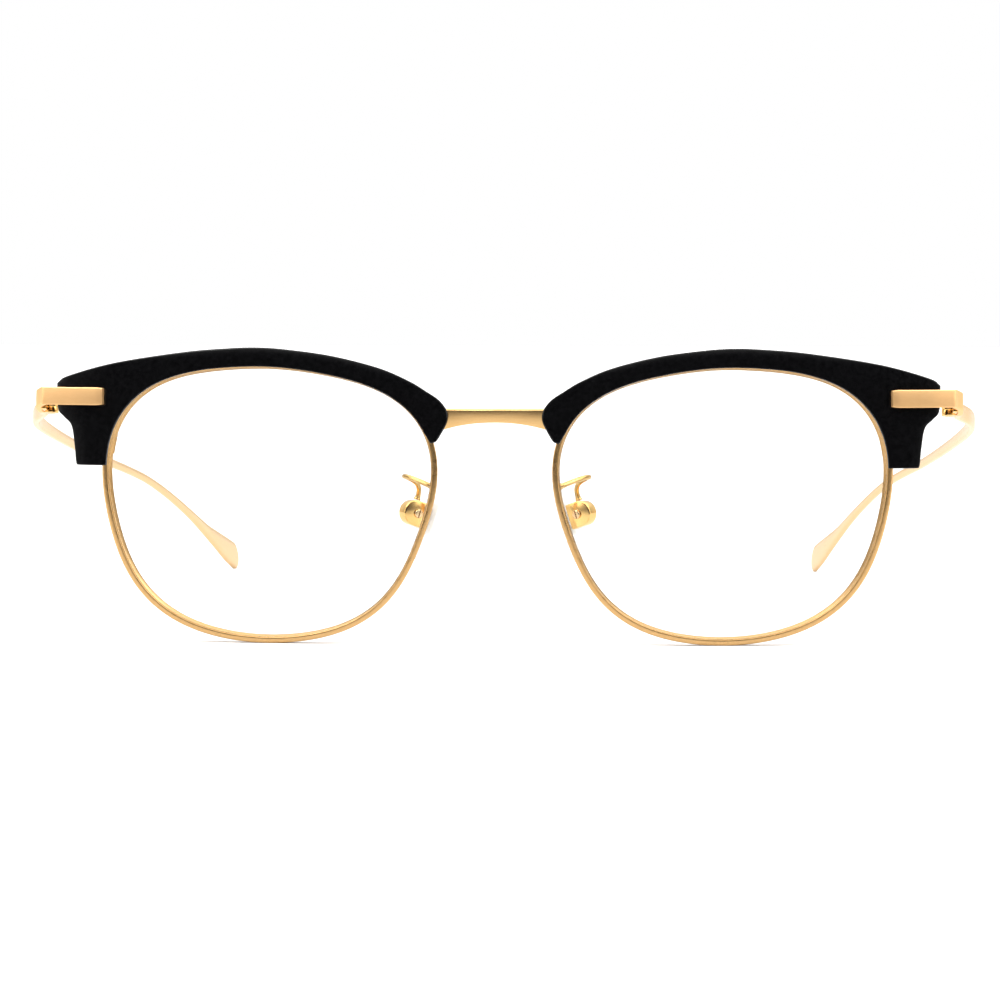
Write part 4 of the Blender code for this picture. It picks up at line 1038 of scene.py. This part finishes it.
def band(value, a, b, lo, hi):
    return wadd("MapRange", {"Value": value, "From Min": a, "From Max": b, "To Min": lo, "To Max": hi},
                interpolation_type='SMOOTHSTEP').outputs[0]


# a soft tent of light, with a darker room in front of the glasses
geo = wadd("TexCoord").outputs["Generated"]
xyz = wadd("SeparateXYZ", {0: geo})
X, Y, Z = xyz.outputs
ahead = wmath('MULTIPLY', Y, -1.0)
azim = wmath('ABSOLUTE', wmath('ARCTAN2', X, ahead))
elev = wmath('ABSOLUTE', wmath('SUBTRACT', wmath('ARCSINE', Z), 0.02))
dark = wmath('MULTIPLY', band(azim, 0.70, 1.00, 1.0, 0.0), band(elev, 0.36, 0.66, 1.0, 0.0))
level = band(dark, 0.0, 1.0, 0.35, 0.02)
# two tall soft panels, left and right of the camera
panel = wmath('MULTIPLY', wmath('MULTIPLY', band(azim, 0.90, 1.12, 0.0, 1.0), band(azim, 1.45, 1.70, 1.0, 0.0)), band(Z, 0.0, 0.12, 0.0, 1.0))
over = wmath('ADD', band(Z, 0.42, 0.85, 0.0, 1.5), wmath('MULTIPLY', panel, 3.0))
back = band(Y, 0.0, 0.7, 0.0, 0.62)
level = wmath('ADD', level, wmath('ADD', over, back))
tent = wadd("Background", {"Color": (1.0, 0.99, 0.975, 1.0), "Strength": level})
pale = wadd("Background", {"Color": (1.0, 1.0, 1.0, 1.0), "Strength": 1.0})
eye = wadd("LightPath").outputs["Is Camera Ray"]
mix = wadd("MixShader", {0: eye, 1: tent.outputs[0], 2: pale.outputs[0]})
nt.links.new(mix.outputs[0], wout.inputs["Surface"])


def area(name, at, to, size, power, colour=(1.0, 1.0, 1.0)):
    li = bpy.data.lights.new(name, 'AREA')
    li.shape = 'RECTANGLE'
    li.size, li.size_y = size
    li.energy = power
    li.color = colour
    ob = bpy.data.objects.new(name, li)
    scene.collection.objects.link(ob)
    ob.location = at
    ob.rotation_mode = 'QUATERNION'
    ob.rotation_quaternion = (Vector(to) - Vector(at)).to_track_quat('-Z', 'Y')
    ob.visible_camera = False
    return ob


area("key", (-0.45, -0.35, 0.85), (0.0, -0.03, 0.02), (0.7, 0.5), 3.0)
area("fill", (0.6, -0.1, 0.6), (0.0, 0.0, 0.02), (0.6, 0.6), 1.5)

# ------------------------------------------------------------------ camera
CAM_D, CAM_AZ, CAM_EL, CAM_ROLL = 510.0, math.radians(2.3), math.radians(3.5), math.radians(0.12)
cam_data = bpy.data.cameras.new("camera")
cam_data.sensor_width = 36.0
cam_data.lens = 6.57 * 510.0 * 0.036
cam_data.shift_x, cam_data.shift_y = 0.0053, 0.00215
cam_data.clip_start, cam_data.clip_end = 0.01, 20.0
cam = bpy.data.objects.new("camera", cam_data)
scene.collection.objects.link(cam)
aim = Vector((0.0, Y_SHIFT, 21.83)) * MM
bk = Vector((math.sin(CAM_AZ) * math.cos(CAM_EL), -math.cos(CAM_AZ) * math.cos(CAM_EL), math.sin(CAM_EL)))
rt = (-bk).cross(Vector((0, 0, 1))).normalized()
u3 = rt.cross(-bk)
r2 = rt * math.cos(CAM_ROLL) + u3 * math.sin(CAM_ROLL)
u2 = u3 * math.cos(CAM_ROLL) - rt * math.sin(CAM_ROLL)
m = Matrix((r2, u2, bk)).transposed().to_4x4()
m.translation = aim + bk * CAM_D * MM
cam.matrix_world = m
scene.camera = cam

scene.view_settings.view_transform = 'Standard'
scene.view_settings.look = 'None'
scene.view_settings.exposure = 0.0
scene.view_settings.gamma = 1.0

bpy.context.view_layer.update()
